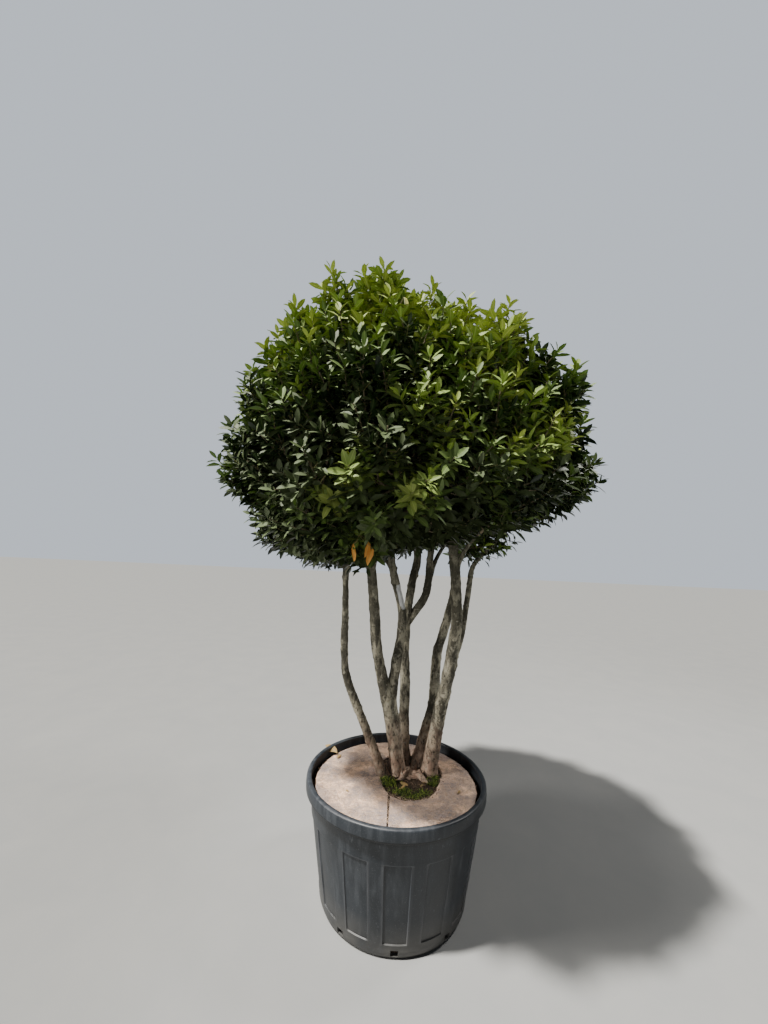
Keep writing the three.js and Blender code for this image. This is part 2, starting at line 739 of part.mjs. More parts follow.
// A core on its own short stem, with twigs that stand out of it and carry leaves
function makeMass(mass, seed) {
  const random = randomFrom(seed);
  const { direction: entry, reach } = mass.entry;
  const stemFoot = mass.middle.clone().addScaledVector(entry, reach - GAP);
  let solid = makeCore(mass)
    .add(rod(mass.middle, stemFoot, MASS_STEM.inner, BOUGH_TIP_RADIUS, MASS_STEM.sides));
  const taken = [];
  for (const direction of twigDirections(mass, random)) {
    const crowded = taken.some((other) => other.angleTo(direction) < TWIG_APART);
    const end = mass.middle.clone()
      .addScaledVector(direction, coreReach(mass, direction) + TWIG_PROUD);
    const inside = insideSpace(mass, end, 2 * TWIG_RADIUS) && insideCrown(end, 0);
    const free = inside && clearOfLimbs(end, TWIG_RADIUS);
    if (taken.length >= TWIGS_PER_MASS || crowded || !free) continue;
    const leaves = twigLeaves(mass, end, direction, random);
    if (leaves.length < LEAST_LEAVES) continue;
    solid = solid.add(rod(mass.middle, end, TWIG_FOOT_RADIUS, TWIG_RADIUS, 3));
    for (const leaf of leaves) solid = solid.add(leaf);
    taken.push(direction);
  }
  for (const limb of limbs) {
    const near = limb.samples.some(
      (sample) => sample.point.distanceTo(mass.middle) < 2 * CORE_RADIUS,
    );
    if (near) solid = solid.subtract(limbSolid(limb, LIMB_CLEARANCE));
  }
  return largestBody(solid);
}

addPiece('pot', makePot(), COLOURS.pot);
addPiece('soil', makeSoil(), COLOURS.soil);
addPiece('felt_disc', makeFelt(), COLOURS.felt);
for (const [name, solid] of woody) addPiece(name, solid, COLOURS.bark);
[...masses.values()].forEach((mass, index) => {
  addPiece(`foliage_${mass.name}`, makeMass(mass, FIRST_SEED + SEED_STEP * index), COLOURS.leaf);
});

export default group;
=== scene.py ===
# A bay shrub with bare stems and a dense, loosely clipped dome of foliage, in a ribbed nursery pot
# under a disc of coir felt. Metres, +Z up, with the front at -Y.
import json
import math
import random

import bpy
import numpy as np
from mathutils import Matrix, Vector, noise

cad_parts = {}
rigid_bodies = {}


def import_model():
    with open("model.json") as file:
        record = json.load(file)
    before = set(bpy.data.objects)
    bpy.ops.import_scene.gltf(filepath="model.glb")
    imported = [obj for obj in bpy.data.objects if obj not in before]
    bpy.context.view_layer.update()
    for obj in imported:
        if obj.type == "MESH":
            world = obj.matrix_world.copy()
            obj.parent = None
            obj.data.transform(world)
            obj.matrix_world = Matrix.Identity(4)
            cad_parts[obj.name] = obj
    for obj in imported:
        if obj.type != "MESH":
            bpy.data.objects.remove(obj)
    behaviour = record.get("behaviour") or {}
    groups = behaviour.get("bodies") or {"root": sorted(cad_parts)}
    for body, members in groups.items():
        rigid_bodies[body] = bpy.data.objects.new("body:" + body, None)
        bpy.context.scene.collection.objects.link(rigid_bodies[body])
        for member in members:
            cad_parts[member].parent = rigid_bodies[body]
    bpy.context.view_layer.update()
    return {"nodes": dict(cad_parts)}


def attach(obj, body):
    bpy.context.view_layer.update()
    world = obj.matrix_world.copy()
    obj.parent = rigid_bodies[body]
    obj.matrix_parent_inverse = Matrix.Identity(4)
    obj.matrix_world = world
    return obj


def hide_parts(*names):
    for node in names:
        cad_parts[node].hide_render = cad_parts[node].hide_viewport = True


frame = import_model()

BODY = "root"
SEED = 11
TURN = 2 * math.pi
FRONT = -math.pi / 2
GOLDEN_TURN = math.radians(137.5)
UP = np.array([0.0, 0.0, 1.0])

# Camera
PHOTO_HEIGHT = 1024
FOCAL_PIXELS = 385
CAMERA_PLACE = (-0.119, -2.129, 1.587)
CAMERA_PITCH = math.radians(7.60)
CAMERA_ROLL = math.radians(2.52)
SENSOR = 36
SIGHT_LIMIT = 300
FLOOR_REACH = 60

# Lights: name, kind, place, point that it faces, power, colour and own settings
LIGHTS = (
    ("key", "SUN", (-0.38, -0.25, 0.89), (0, 0, 0), 10.4, (1.0, 0.965, 0.90), {"angle": math.radians(3.5)}),
    ("side", "SPOT", (-3.7, -1.3, 2.4), (0, 0, 0.55), 680, (1.0, 0.95, 0.88),
     {"spot_size": math.radians(38), "spot_blend": 1.0, "shadow_soft_size": 0.4}),
    ("fill", "AREA", (-1.5, -6.0, 2.6), (0, 0, 0.9), 22, (0.92, 0.96, 1.0), {"shape": "DISK", "size": 3.0}),
    ("rim", "AREA", (3.6, 0.8, 5.2), (0, 0, 2.4), 200, (1.0, 0.98, 0.94), {"shape": "DISK", "size": 1.0}),
)
SKY_COLOUR = (0.80, 0.87, 0.96)
SKY_STRENGTH = 0.08  # on the plant
BACKDROP_STRENGTH = 0.80  # as the camera sees it

# Pot
POT_HEIGHT = 0.540
RIM_RADIUS = 0.450
LIP_HEIGHT = 0.050
LIP_OVERHANG = 0.018
LIP_ROUND = 0.009
LIP_WIDTH = 0.024
LIP_CORNER = 0.005
BASE_RADIUS = 0.356
FOOT_RADIUS = 0.332
FOOT_ROUND = 0.042
WALL = 0.008
FLOOR = 0.012
PANEL_COUNT = 14
PANEL_ANGLE = math.radians(15.6)
PANEL_DEPTH = 0.0045
PANEL_TOP = 0.385
PANEL_BOTTOM = 0.062
EDGE = 0.0018  # half the width of a panel's sloping edge
EDGE_TURN = EDGE / 0.4  # the same as an angle
DRAIN_COUNT = 9
DRAIN_WIDTH = 0.030
DRAIN_HEIGHT = 0.024
DRAIN_LOW = 0.016
DRAIN_DEPTH = 0.014

# Soil and felt disc
SOIL_TOP = 0.495
SOIL_RADIUS = 0.418
SOIL_FOOT_RADIUS = 0.338
FELT_THICKNESS = 0.008
FELT_RADIUS = 0.404
FELT_HOLE = (0.070, 0.045)
HOLE_HALVES = (0.166, 0.222)
HOLE_WAVES = ((3, 0.05, 0.6), (5, 0.035, 0.0), (17, 0.010, 1.0), (29, 0.007, 2.0))
# Curled places on the felt: place, width and rise
CURLS = (((-0.105, 0.075), 0.032, 0.016), ((-0.060, 0.170), 0.030, 0.010), ((0.215, 0.150), 0.030, 0.009))
# The slit's heading and half its width as an angle, at the hole and at the disc's edge
SLIT_INNER = (math.radians(232), math.radians(3.2))
SLIT_OUTER = (math.radians(262.9), math.radians(0.5))
FIBRES = 2600
FIBRE_LENGTH = (0.012, 0.038)
# Moss: place, spread, number of blades and their height
MOSS = (
    ((-0.030, -0.045), 0.020, 240, 0.024), ((0.020, -0.105), 0.024, 260, 0.016),
    ((0.075, -0.135), 0.024, 260, 0.012), ((0.130, -0.110), 0.022, 160, 0.012),
    ((0.190, -0.030), 0.014, 150, 0.020), ((0.200, 0.020), 0.012, 110, 0.022),
    ((-0.055, 0.000), 0.012, 90, 0.018),
)
FRESH_MOSS = 0.38  # share of the blades
# Crumbs: piece, number, size and two colours
CRUMBS = (
    ("crumbs_dark", 900, 0.0032, (0.045, 0.030, 0.020), (0.020, 0.014, 0.010)),
    ("crumbs_pale", 260, 0.0040, (0.30, 0.19, 0.12), (0.15, 0.095, 0.06)),
)
CRUMB_SHAPES = 6
# Dry leaves: place and height above what they lie on, heading, tilt and length
LITTER = (
    ((-0.322, 0.205, 0.012), 2.55, 0.42, 0.098), ((-0.318, 0.165, 0.006), 1.30, 0.15, 0.050),
    ((0.010, -0.095, 0.006), 0.40, 0.25, 0.040), ((0.060, -0.060, 0.004), 2.60, 0.10, 0.050),
    ((0.120, -0.075, 0.005), 1.00, 0.20, 0.036), ((0.150, -0.020, 0.006), 4.40, 0.15, 0.042),
    ((-0.010, -0.010, 0.005), 5.20, 0.25, 0.036), ((0.175, 0.060, 0.005), 0.20, 0.10, 0.040),
    ((0.000, 0.200, 0.004), 1.90, 0.15, 0.045), ((0.160, 0.200, 0.004), 3.60, 0.10, 0.040),
    ((0.290, -0.120, 0.003), 0.90, 0.05, 0.034), ((-0.230, -0.140, 0.003), 2.10, 0.06, 0.026),
)

# Crown
CROWN_X = -0.028
CROWN_RADIUS = 1.015
CROWN_BELT = 2.220
CROWN_TOP = 3.190
CROWN_HEM = 1.588
CROWN_LEAN = -0.15
CROWN_MIDDLE = np.array([CROWN_X, 0, CROWN_BELT])
HEM_SLOPE = 0.24
UPPER_CURVE = 1.6
LOWER_CURVE = 3
CORE_RADIUS = 0.325
CORE_INSET = 0.100
CORE_CLEARANCE = 0.009
CORE_LEAST = 0.060
CORE_STEP = 0.004

# Rings of foliage masses: name, height, distance from the crown's middle line, number, first angle
RINGS = (
    ("hem", 1.870, 0.675, 8, 0), ("belt", 2.305, 0.715, 8, 22.5), ("shoulder", 2.715, 0.450, 5, 0),
    ("cap", 2.900, 0.0, 1, 0),
)

# Stems and forked limbs: node, route, foot radius, tip radius and the mass that each one ends in
STEMS = (
    ("stem_middle", ((0.012, 0.072, 0.470), (-0.018, 0.060, 0.680), (-0.058, 0.048, 0.860),
                     (-0.097, 0.038, 1.008), (-0.128, 0.020, 1.150), (-0.146, -0.016, 1.330),
                     (-0.176, -0.100, 1.586), (-0.215, -0.170, 1.900)), 0.033, 0.013, "shoulder_4"),
    ("stem_middle", ((0.022, 0.080, 0.470), (-0.002, 0.070, 0.680), (-0.034, 0.062, 0.860),
                     (-0.018, 0.066, 1.040), (0.000, 0.100, 1.140), (0.012, 0.126, 1.290),
                     (-0.010, 0.126, 1.400), (-0.064, 0.120, 1.608),
                     (-0.090, 0.150, 1.960)), 0.030, 0.010, "shoulder_3"),
    ("stem_back", ((0.056, 0.148, 0.470), (0.045, 0.162, 0.640), (0.044, 0.182, 0.880),
                   (0.036, 0.206, 1.110), (0.046, 0.226, 1.290), (0.070, 0.256, 1.470),
                   (0.104, 0.296, 1.680), (0.060, 0.230, 2.100)), 0.030, 0.013, "cap_1"),
    ("stem_right", ((0.178, 0.084, 0.470), (0.206, 0.058, 0.700), (0.262, 0.018, 1.010),
                    (0.284, -0.010, 1.200), (0.290, -0.040, 1.340), (0.262, -0.090, 1.605),
                    (0.222, -0.150, 1.850)), 0.036, 0.014, "shoulder_5"),
    ("stem_right_back", ((0.108, 0.140, 0.470), (0.160, 0.152, 0.650), (0.206, 0.164, 0.830),
                         (0.222, 0.184, 1.070), (0.252, 0.194, 1.180), (0.288, 0.200, 1.310),
                         (0.318, 0.196, 1.460), (0.338, 0.176, 1.720),
                         (0.316, 0.150, 1.960)), 0.031, 0.010, "belt_1"),
    ("stem_left", ((-0.052, 0.046, 0.470), (-0.156, 0.028, 0.705), (-0.270, 0.000, 0.965),
                   (-0.295, -0.025, 1.120), (-0.299, -0.050, 1.330),
                   (-0.306, -0.088, 1.560)), 0.024, 0.014, "hem_5"),
    ("limb_right", ((0.270, 0.008, 1.060), (0.320, 0.014, 1.190), (0.342, 0.012, 1.320),
                    (0.364, 0.010, 1.480), (0.388, 0.010, 1.600)), 0.017, 0.009, "hem_1"),
    ("limb_back_right", ((0.044, 0.222, 1.240), (0.145, 0.242, 1.391), (0.170, 0.250, 1.500),
                         (0.178, 0.252, 1.650), (0.196, 0.240, 1.860)), 0.025, 0.011, "belt_2"),
)
STEM_TAPER = 1.5
FLARE_SPREAD = 0.63
FLARE_HEIGHT = 0.055
ENTRY_RUN = 0.070

# Boughs inside the crown: the mass that each one feeds, the row of STEMS that it leaves, and the height
BOUGHS = (
    ("hem_2", 7, 1.440), ("hem_3", 2, 1.560), ("hem_4", 1, 1.500), ("hem_6", 0, 1.450),
    ("hem_7", 0, 1.480), ("hem_8", 3, 1.500), ("belt_3", 2, 1.900), ("belt_4", 1, 1.880),
    ("belt_5", 0, 1.860), ("belt_6", 0, 1.960), ("belt_7", 3, 1.930), ("belt_8", 3, 1.820),
    ("shoulder_1", 4, 1.940), ("shoulder_2", 2, 2.140),
)
BOUGH_FOOT_RADIUS = 0.014
THICKER_BOUGHS = {"hem_2": 0.021}  # radius at the foot
BOUGH_TIP_RADIUS = 0.008
BOUGH_SHARE = 0.85
BOUGH_LEAD = 0.3
BOUGH_LIFT = 0.05
BOUGH_ENTRY = 0.35
BOUGH_LEVEL = 0.35
BOUGH_STUB = 0.030
BOUGH_STEP = 0.014

# Bark: swellings, rings and knots where twigs once grew, and a bare scar on the middle stem's back arm
BARK_STEP = 0.007
BARK_SIDES = {"stem": 28, "limb": 20, "bough": 10}
ROOT_SIDES = 12
SWELLINGS = ((0.125, 9), (0.075, 24))  # share of the radius, and scale
LUMPS = ((0.0014, 75), (0.0007, 170))  # height, and scale
NODE_SPACING = (0.045, 0.095)
KNOTS_PER_METRE = 22
SCAR_LIMB = 1
SCAR_HEIGHTS = (1.335, 1.470)
SCAR_WAY = Vector((0.80, -0.60, 0.0)).normalized()
SCAR_DEPTH = 0.0026
CROWN_FOOT = ((0.072, 0.082, 0.480), (0.112, 0.084, 0.036))  # place and half sizes
CROWN_FOOT_LUMPS = ((0.11, 2.1), (0.10, 4.5), (0.05, 11), (0.02, 30))  # share, and scale
# Roots: start, bend, end and radius
ROOTS = (
    ((0.118, 0.040, 0.514), (0.140, 0.004, 0.500), (0.162, -0.020, 0.486), 0.019),
    ((0.055, 0.040, 0.508), (0.034, 0.008, 0.500), (0.004, -0.010, 0.486), 0.016),
    ((0.134, 0.128, 0.575), (0.106, 0.100, 0.528), (0.084, 0.058, 0.488), 0.024),
    ((0.030, 0.068, 0.530), (0.034, 0.036, 0.506), (0.050, 0.010, 0.486), 0.018),
)

# Leafy branchlets in shells under the crown's outline: number, depth of their tips and its spread
SHELLS = ((720, 0.006, 0.085), (400, 0.115, 0.080), (210, 0.235, 0.090))
# Branchlets that stand out of the outline: a place near the tip, and how far past the outline it reaches
PROUD_BRANCHLETS = (
    ((-0.40, -0.67, 2.83), 0.030), ((-0.17, -0.67, 2.86), 0.020), ((-0.27, -0.60, 2.90), -0.005),
    ((0.37, -0.73, 2.67), 0.036), ((0.43, -0.69, 2.62), 0.006), ((0.59, -0.68, 2.49), 0.008),
    ((0.67, -0.66, 2.43), 0.025), ((0.71, -0.67, 2.33), 0.013), ((0.89, -0.43, 1.99), 0.004),
    ((0.81, -0.28, 1.82), 0.018), ((-0.95, -0.38, 2.03), 0.006), ((-0.90, -0.39, 1.94), -0.010),
    ((-0.58, -0.54, 2.74), -0.030), ((0.06, -0.56, 2.84), -0.040),
)
# Places where the outline draws in: place, how far, and how wide an angle
DIPS = (
    ((-0.80, -0.40, 1.72), 0.070, 0.22), ((-0.30, -0.66, 2.80), 0.030, 0.07),
    ((0.05, -0.62, 2.80), 0.040, 0.12), ((0.50, -0.70, 2.55), 0.030, 0.08),
    ((-0.78, -0.45, 2.50), 0.035, 0.14), ((0.80, -0.50, 2.20), 0.025, 0.08),
)
# Branchlets that hang round the stems where they enter the crown
HEM_BRANCHLETS = (
    (-0.38, -0.17, 1.66), (-0.31, -0.20, 1.65), (-0.25, -0.16, 1.64), (-0.42, -0.06, 1.65),
    (-0.36, 0.02, 1.66), (-0.30, -0.06, 1.66), (0.34, -0.14, 1.74), (0.42, -0.08, 1.70),
    (0.50, -0.06, 1.70), (0.58, -0.08, 1.73), (0.47, 0.06, 1.69), (0.55, 0.04, 1.72),
    (-0.24, -0.56, 1.70), (-0.17, -0.57, 1.69),
)
# The level of the lowest leaves: place across the crown, and height
HEM_LEVELS = (
    (-0.95, 1.65), (-0.72, 1.60), (-0.50, 1.575), (-0.22, 1.595), (-0.06, 1.67), (0.20, 1.705),
    (0.67, 1.76), (0.95, 1.86),
)
HEM_DROOP = 0.038  # of a shoot's leaves under its tip
HEM_WAVES = 0.040  # height of the hem's unevenness
OUTLINE_INSET = 0.036  # of the crown's leaves between those branchlets
TUFT_HEIGHT = 0.056
TUFT_SCALE = 3.1
BRANCHLET_LENGTH = 0.170
SHOOTS_PER_BRANCHLET = (4, 8)
SHOOT_OUT = (0.026, 0.066)  # from its branchlet
SHOOT_LENGTH = 0.070  # of the leafy end of a shoot
SHOOT_REACH = 0.042  # how far the top leaves stand past a shoot's tip
SHOOT_STALK = 0.045  # the straight end of a shoot's stem
BRANCHLETS_PER_BRANCH = 6
LIMB_CLEARANCE = 0.030
# Radii at the foot and at the tip
BRANCH_RADII = (0.0078, 0.0050)
TWIG_RADII = (0.0048, 0.0018)
SHOOT_RADII = (0.0023, 0.0013)
STALK_RADII = (0.0018, 0.0010)
FIBRE_RADII = (0.00055, 0.00035)
MOSS_RADII = (0.0014, 0.0005)

# Leaves
LEAF_LENGTH = 0.063
LEAF_WIDTH = 0.39  # of its length
DRY_LEAF_WIDTH = 0.46
SPRAY_LEAVES = (9, 11, 10, 12, 9, 11, 10)
MOST_SPRAYS = 1350  # in one piece, which keeps it under its limit of triangles
COARSE_DEPTH = 0.1
# Leaf outlines: places along the midrib, and places along each edge with the breadth there
FINE_LEAF = ((0, 0.17, 0.48, 0.80, 1.0), ((0.17, 0.56), (0.48, 1.0), (0.80, 0.70)))
COARSE_LEAF = ((0, 0.30, 0.72, 1.0), ((0.30, 0.86), (0.72, 0.84)))
# The darkest leaf colour, for deep sprays, is painted shade; the mature colour is partly painted shade; the
# fresh and young colours are partly painted sunlight on high, upward-facing sprays and front tufts.
# Leaf colours: upper colour, its variation, midrib and roughness
LEAF_COLOURS = {
    "leaves_shade": ((0.008, 0.019, 0.006), (0.004, 0.011, 0.004), (0.024, 0.044, 0.018), 0.36),
    "leaves_mature": ((0.015, 0.036, 0.007), (0.008, 0.022, 0.005), (0.070, 0.108, 0.032), 0.30),
    "leaves_green": ((0.088, 0.158, 0.024), (0.055, 0.112, 0.018), (0.24, 0.31, 0.085), 0.36),
    "leaves_fresh": ((0.215, 0.315, 0.042), (0.150, 0.240, 0.034), (0.40, 0.47, 0.13), 0.40),
    "leaves_young": ((0.340, 0.430, 0.070), (0.270, 0.340, 0.055), (0.54, 0.58, 0.18), 0.44),
}
LEAF_STEPS = (0.12, 0.33, 0.50, 0.68)  # scores that part one colour from the next
# Tufts in the shade of the crown's front that get lighter, younger leaf colours as painted sunlight, and how
# far that reaches
PAINTED_SUNLIT_TUFTS = np.array((
    (-0.213, -0.80, 1.93), (-0.126, -0.80, 1.90), (0.046, -0.80, 1.94), (-0.324, -0.80, 1.80),
    (0.004, -0.80, 1.80), (-0.258, -0.80, 1.73), (0.140, -0.80, 2.20), (-0.009, -0.80, 2.21),
    (0.283, -0.80, 2.10), (0.215, -0.80, 2.34), (0.381, -0.80, 2.05), (0.62, -0.60, 2.10),
))
TUFT_REACH = 0.062
# Leaves on their way out: piece, colour, its variation, midrib and places in the crown
TURNING_LEAVES = (
    ("leaves_orange", (0.86, 0.33, 0.018), (0.74, 0.20, 0.014), (0.88, 0.55, 0.12),
     ((-0.229, -0.640, 1.634), (-0.163, -0.640, 1.622), (-0.175, -0.630, 1.645), (0.42, 0.55, 1.85),
      (-0.60, 0.40, 1.72), (0.30, 0.75, 2.30))),
    ("leaves_red", (0.24, 0.050, 0.022), (0.16, 0.030, 0.018), (0.40, 0.18, 0.08),
     ((-0.365, -0.600, 2.044), (-0.490, -0.600, 2.271), (0.55, -0.45, 2.05), (-0.20, 0.85, 2.20),
      (0.70, 0.45, 2.40))),
    ("leaves_yellow", (0.62, 0.58, 0.14), (0.50, 0.50, 0.10), (0.70, 0.68, 0.30),
     ((-0.069, -0.700, 2.644), (-0.640, -0.550, 2.420), (0.10, 0.60, 2.70), (0.85, 0.10, 2.30))),
)


def polar(radius, angle, *height):
    return (radius * math.cos(angle), radius * math.sin(angle), *height)


def unit(vectors):
    return vectors / np.maximum(np.linalg.norm(vectors, axis=-1, keepdims=True), 1e-9)


def clamped(value):
    return min(1.0, max(0.0, value))


def wander(point, scale, seed=0.0):
    """Smooth noise from about -1 to 1 at a point."""
    return noise.noise(Vector(point) * scale + Vector((seed, seed * 1.7, -seed)))


# Meshes

def new_object(name, data):
    piece = bpy.data.objects.new(name, data)
    bpy.context.scene.collection.objects.link(piece)
    return piece


def new_piece(name, points, faces=(), material=None, edges=(), values=()):
    """An object with its place in its mesh. Values are attributes of its points: name, type and data."""
    mesh = bpy.data.meshes.new(name)
    mesh.from_pydata([tuple(point) for point in points], edges, faces)
    mesh.update()
    if material:
        mesh.materials.append(material)
    for attribute, kind, data in values:
        field = "vector" if kind == "FLOAT_VECTOR" else "value"
        mesh.attributes.new(attribute, kind, "POINT").data.foreach_set(field, data)
    return new_object(name, mesh)


def smooth(piece, sharp_angle=None):
    mesh = piece.data
    mesh.polygons.foreach_set("use_smooth", [True] * len(mesh.polygons))
    if sharp_angle is not None:
        mesh.set_sharp_from_angle(angle=math.radians(sharp_angle))
    mesh.update()


def settle(piece, slot, *nodes):
    """Makes a finished piece ride on the plant's body, in place of CAD nodes."""
    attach(piece, BODY)
    if nodes:
        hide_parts(*nodes)


def grid_faces(rows, columns, closed, first=0):
    """Quads between the rows of a grid of points, which closes on itself across its columns or not."""
    faces = []
    for low in range(first, first + (rows - 1) * columns, columns):
        for column in range(columns if closed else columns - 1):
            beside = (column + 1) % columns
            faces.append((low + column, low + beside, low + columns + beside, low + columns + column))
    return faces


def fan(centre, first, count):
    """Triangles between a ring of points and a point beyond it."""
    return [(first + i, first + (i + 1) % count, centre) for i in range(count)]


def flipped(faces):
    return [tuple(reversed(face)) for face in faces]


# Node trees

def add(tree, kind, values=(), **settings):
    """Adds a node. Values maps its inputs to constants or to the sockets that feed them."""
    node = tree.nodes.new(kind)
    for key, value in settings.items():
        setattr(node, key, value)
    for key, value in dict(values).items():
        socket = node.inputs[key]
        if isinstance(value, bpy.types.NodeSocket):
            tree.links.new(value, socket)
        else:
            socket.default_value = (*value, 1) if socket.type == "RGBA" else value
    return node


def maths(tree, operation, *values):
    return add(tree, "ShaderNodeMath", dict(enumerate(values)), operation=operation).outputs[0]


def new_group(name, kind, inputs, output):
    """An empty node group, its inputs' sockets and its output's socket. Each has a name, type and value."""
    tree = bpy.data.node_groups.new(name, kind)
    for way, sockets in (("INPUT", inputs), ("OUTPUT", (output,))):
        for socket_name, word, *value in sockets:
            socket = tree.interface.new_socket(
                name=socket_name, in_out=way, socket_type=f"NodeSocket{word}")
            if value:
                socket.default_value = value[0]
    return tree, add(tree, "NodeGroupInput").outputs, add(tree, "NodeGroupOutput").inputs[0]


def mottle_group():
    """Patches with ragged edges, as a mask from 0 to 1."""
    tree, source, result = new_group("mottle", "ShaderNodeTree", (
        ("Vector", "Vector"), ("Scale", "Float", 10.0), ("Cover", "Float", 0.5),
        ("Softness", "Float", 0.08)), ("Mask", "Float"))
    cloud = add(tree, "ShaderNodeTexNoise", {
        "Vector": source["Vector"], "Scale": source["Scale"], "Detail": 6.0, "Roughness": 0.62,
        "Distortion": 0.35})
    level = maths(tree, "SUBTRACT", 1.0, source["Cover"])
    mask = add(tree, "ShaderNodeMapRange", {
        "Value": cloud.outputs["Fac"], "From Min": maths(tree, "SUBTRACT", level, source["Softness"]),
        "From Max": maths(tree, "ADD", level, source["Softness"])}, interpolation_type="SMOOTHSTEP")
    tree.links.new(mask.outputs["Result"], result)
    return tree


def grain_group():
    """Fine relief of three sizes, as a height."""
    tree, source, result = new_group("grain", "ShaderNodeTree", (
        ("Vector", "Vector"), ("Scale", "Float", 60.0), ("Lumps", "Float", 0.5)), ("Height", "Float"))
    same = {"Vector": source["Vector"], "Scale": source["Scale"]}
    fine = add(tree, "ShaderNodeTexNoise", {**same, "Detail": 8.0, "Roughness": 0.7})
    cells = add(tree, "ShaderNodeTexVoronoi", same, feature="SMOOTH_F1")
    lumps = maths(tree, "MULTIPLY", cells.outputs["Distance"], source["Lumps"])
    tree.links.new(maths(tree, "SUBTRACT", fine.outputs["Fac"], lumps), result)
    return tree


MOTTLE = mottle_group()
GRAIN = grain_group()


class Finish:
    """A material in the making, with a vector that stays with the object, and its colour so far."""

    def __init__(self, name, roughness, specular):
        self.material = bpy.data.materials.new(name)
        self.material.use_nodes = True
        self.tree = self.material.node_tree
        self.tree.nodes.clear()
        self.shader = self.add("BsdfPrincipled", {"Roughness": roughness, "Specular IOR Level": specular})
        self.add("OutputMaterial", {"Surface": self.shader.outputs["BSDF"]})
        self.place = self.add("TexCoord").outputs["Object"]
        self.colour = None

    def add(self, kind, values=(), **settings):
        return add(self.tree, "ShaderNode" + kind, values, **settings)

    def maths(self, operation, *values):
        return maths(self.tree, operation, *values)

    def stretched(self, stretch):
        if stretch is None:
            return self.place
        return self.add("Mapping", {"Vector": self.place, "Scale": stretch}).outputs["Vector"]

    def patches(self, scale, cover, softness, stretch=None):
        """A mask of ragged patches."""
        return self.add("Group", {"Vector": self.stretched(stretch), "Scale": scale, "Cover": cover,
                                  "Softness": softness}, node_tree=MOTTLE).outputs[0]

    def threads(self, scale, detail, stretch=None, **more):
        """Plain noise."""
        values = {"Vector": self.stretched(stretch), "Scale": scale, "Detail": detail}
        return self.add("TexNoise", {**values, **more}).outputs["Fac"]

    def ramp(self, factor, *stops):
        """A colour ramp with stops of place and colour."""
        node = self.add("ValToRGB", {"Fac": factor})
        elements = node.color_ramp.elements
        while len(elements) < len(stops):
            elements.new(0.5)
        for element, (place, colour) in zip(elements, stops):
            element.position = place
            element.color = (*colour, 1)
        return node.outputs["Color"]

    def between(self, value, start, end, low=0.0, high=1.0):
        """A value carried from one range to another."""
        return self.add("MapRange", {"Value": value, "From Min": start, "From Max": end, "To Min": low,
                                     "To Max": high}).outputs["Result"]

    def attribute(self, name):
        return self.add("Attribute", attribute_name=name).outputs["Fac"]

    def height(self):
        return self.add("SeparateXYZ", {"Vector": self.place}).outputs["Z"]

    def mix(self, factor, first, second):
        return self.add("Mix", {0: factor, 6: first, 7: second}, data_type="RGBA").outputs[2]

    def cover(self, mask, share, colour):
        """Lays a share of another colour over the surface, where a mask says."""
        self.colour = self.mix(self.maths("MULTIPLY", mask, share), self.colour, colour)

    def feed(self, **sockets):
        for name, socket in sockets.items():
            self.tree.links.new(socket, self.shader.inputs[name.replace("_", " ")])

    def bump(self, height, strength, distance):
        bump = self.add("Bump", {"Height": height, "Strength": strength, "Distance": distance})
        self.feed(Normal=bump.outputs["Normal"])

    def done(self, scale, lumps, strength, distance, stretch=None):
        """The material, with its colour and its grain."""
        grain = self.add("Group", {"Vector": self.stretched(stretch), "Scale": scale, "Lumps": lumps},
                         node_tree=GRAIN).outputs[0]
        self.bump(grain, strength, distance)
        self.feed(Base_Color=self.colour)
        return self.material


def pot_plastic():
    """Charcoal plastic, weathered grey, with scuffs, run marks, dust towards its foot and a band of painted
    shade under the lip.
    """
    look = Finish("pot_plastic", 0.5, 0.38)
    worn = look.patches(2.6, 0.52, 0.22)
    runs = look.patches(34.0, 0.42, 0.16, (1.0, 1.0, 0.12))
    height = look.height()
    under = POT_HEIGHT - LIP_HEIGHT
    # Painted shade: a band just under the lip, darkest near it, stands for the shadow of the lip's overhang.
    in_shade = look.maths("MULTIPLY", look.between(height, under - 0.030, under - 0.004, 0.0, 0.85),
                          look.maths("LESS_THAN", height, under + 0.004))
    look.colour = look.mix(worn, (0.006, 0.0082, 0.0110), (0.020, 0.0245, 0.031))
    look.cover(runs, 0.40, (0.070, 0.078, 0.088))
    look.cover(look.patches(46.0, 0.30, 0.05, (1.0, 1.0, 0.5)), 0.42, (0.15, 0.165, 0.19))
    look.cover(look.attribute("edge_wear"), 0.30, (0.15, 0.155, 0.17))
    # Lays the painted shade under the lip over the colour so far.
    look.colour = look.mix(in_shade, look.colour, (0.004, 0.005, 0.006))
    look.cover(look.between(height, 0.16, 0.0, 0.0, 0.75), worn, (0.105, 0.098, 0.085))
    look.cover(look.patches(210.0, 0.36, 0.06), 0.35, (0.13, 0.14, 0.15))
    look.feed(Roughness=look.between(look.maths("ADD", worn, runs), 0.0, 2.0, 0.36, 0.62))
    return look.done(90.0, 0.2, 0.18, 0.002)


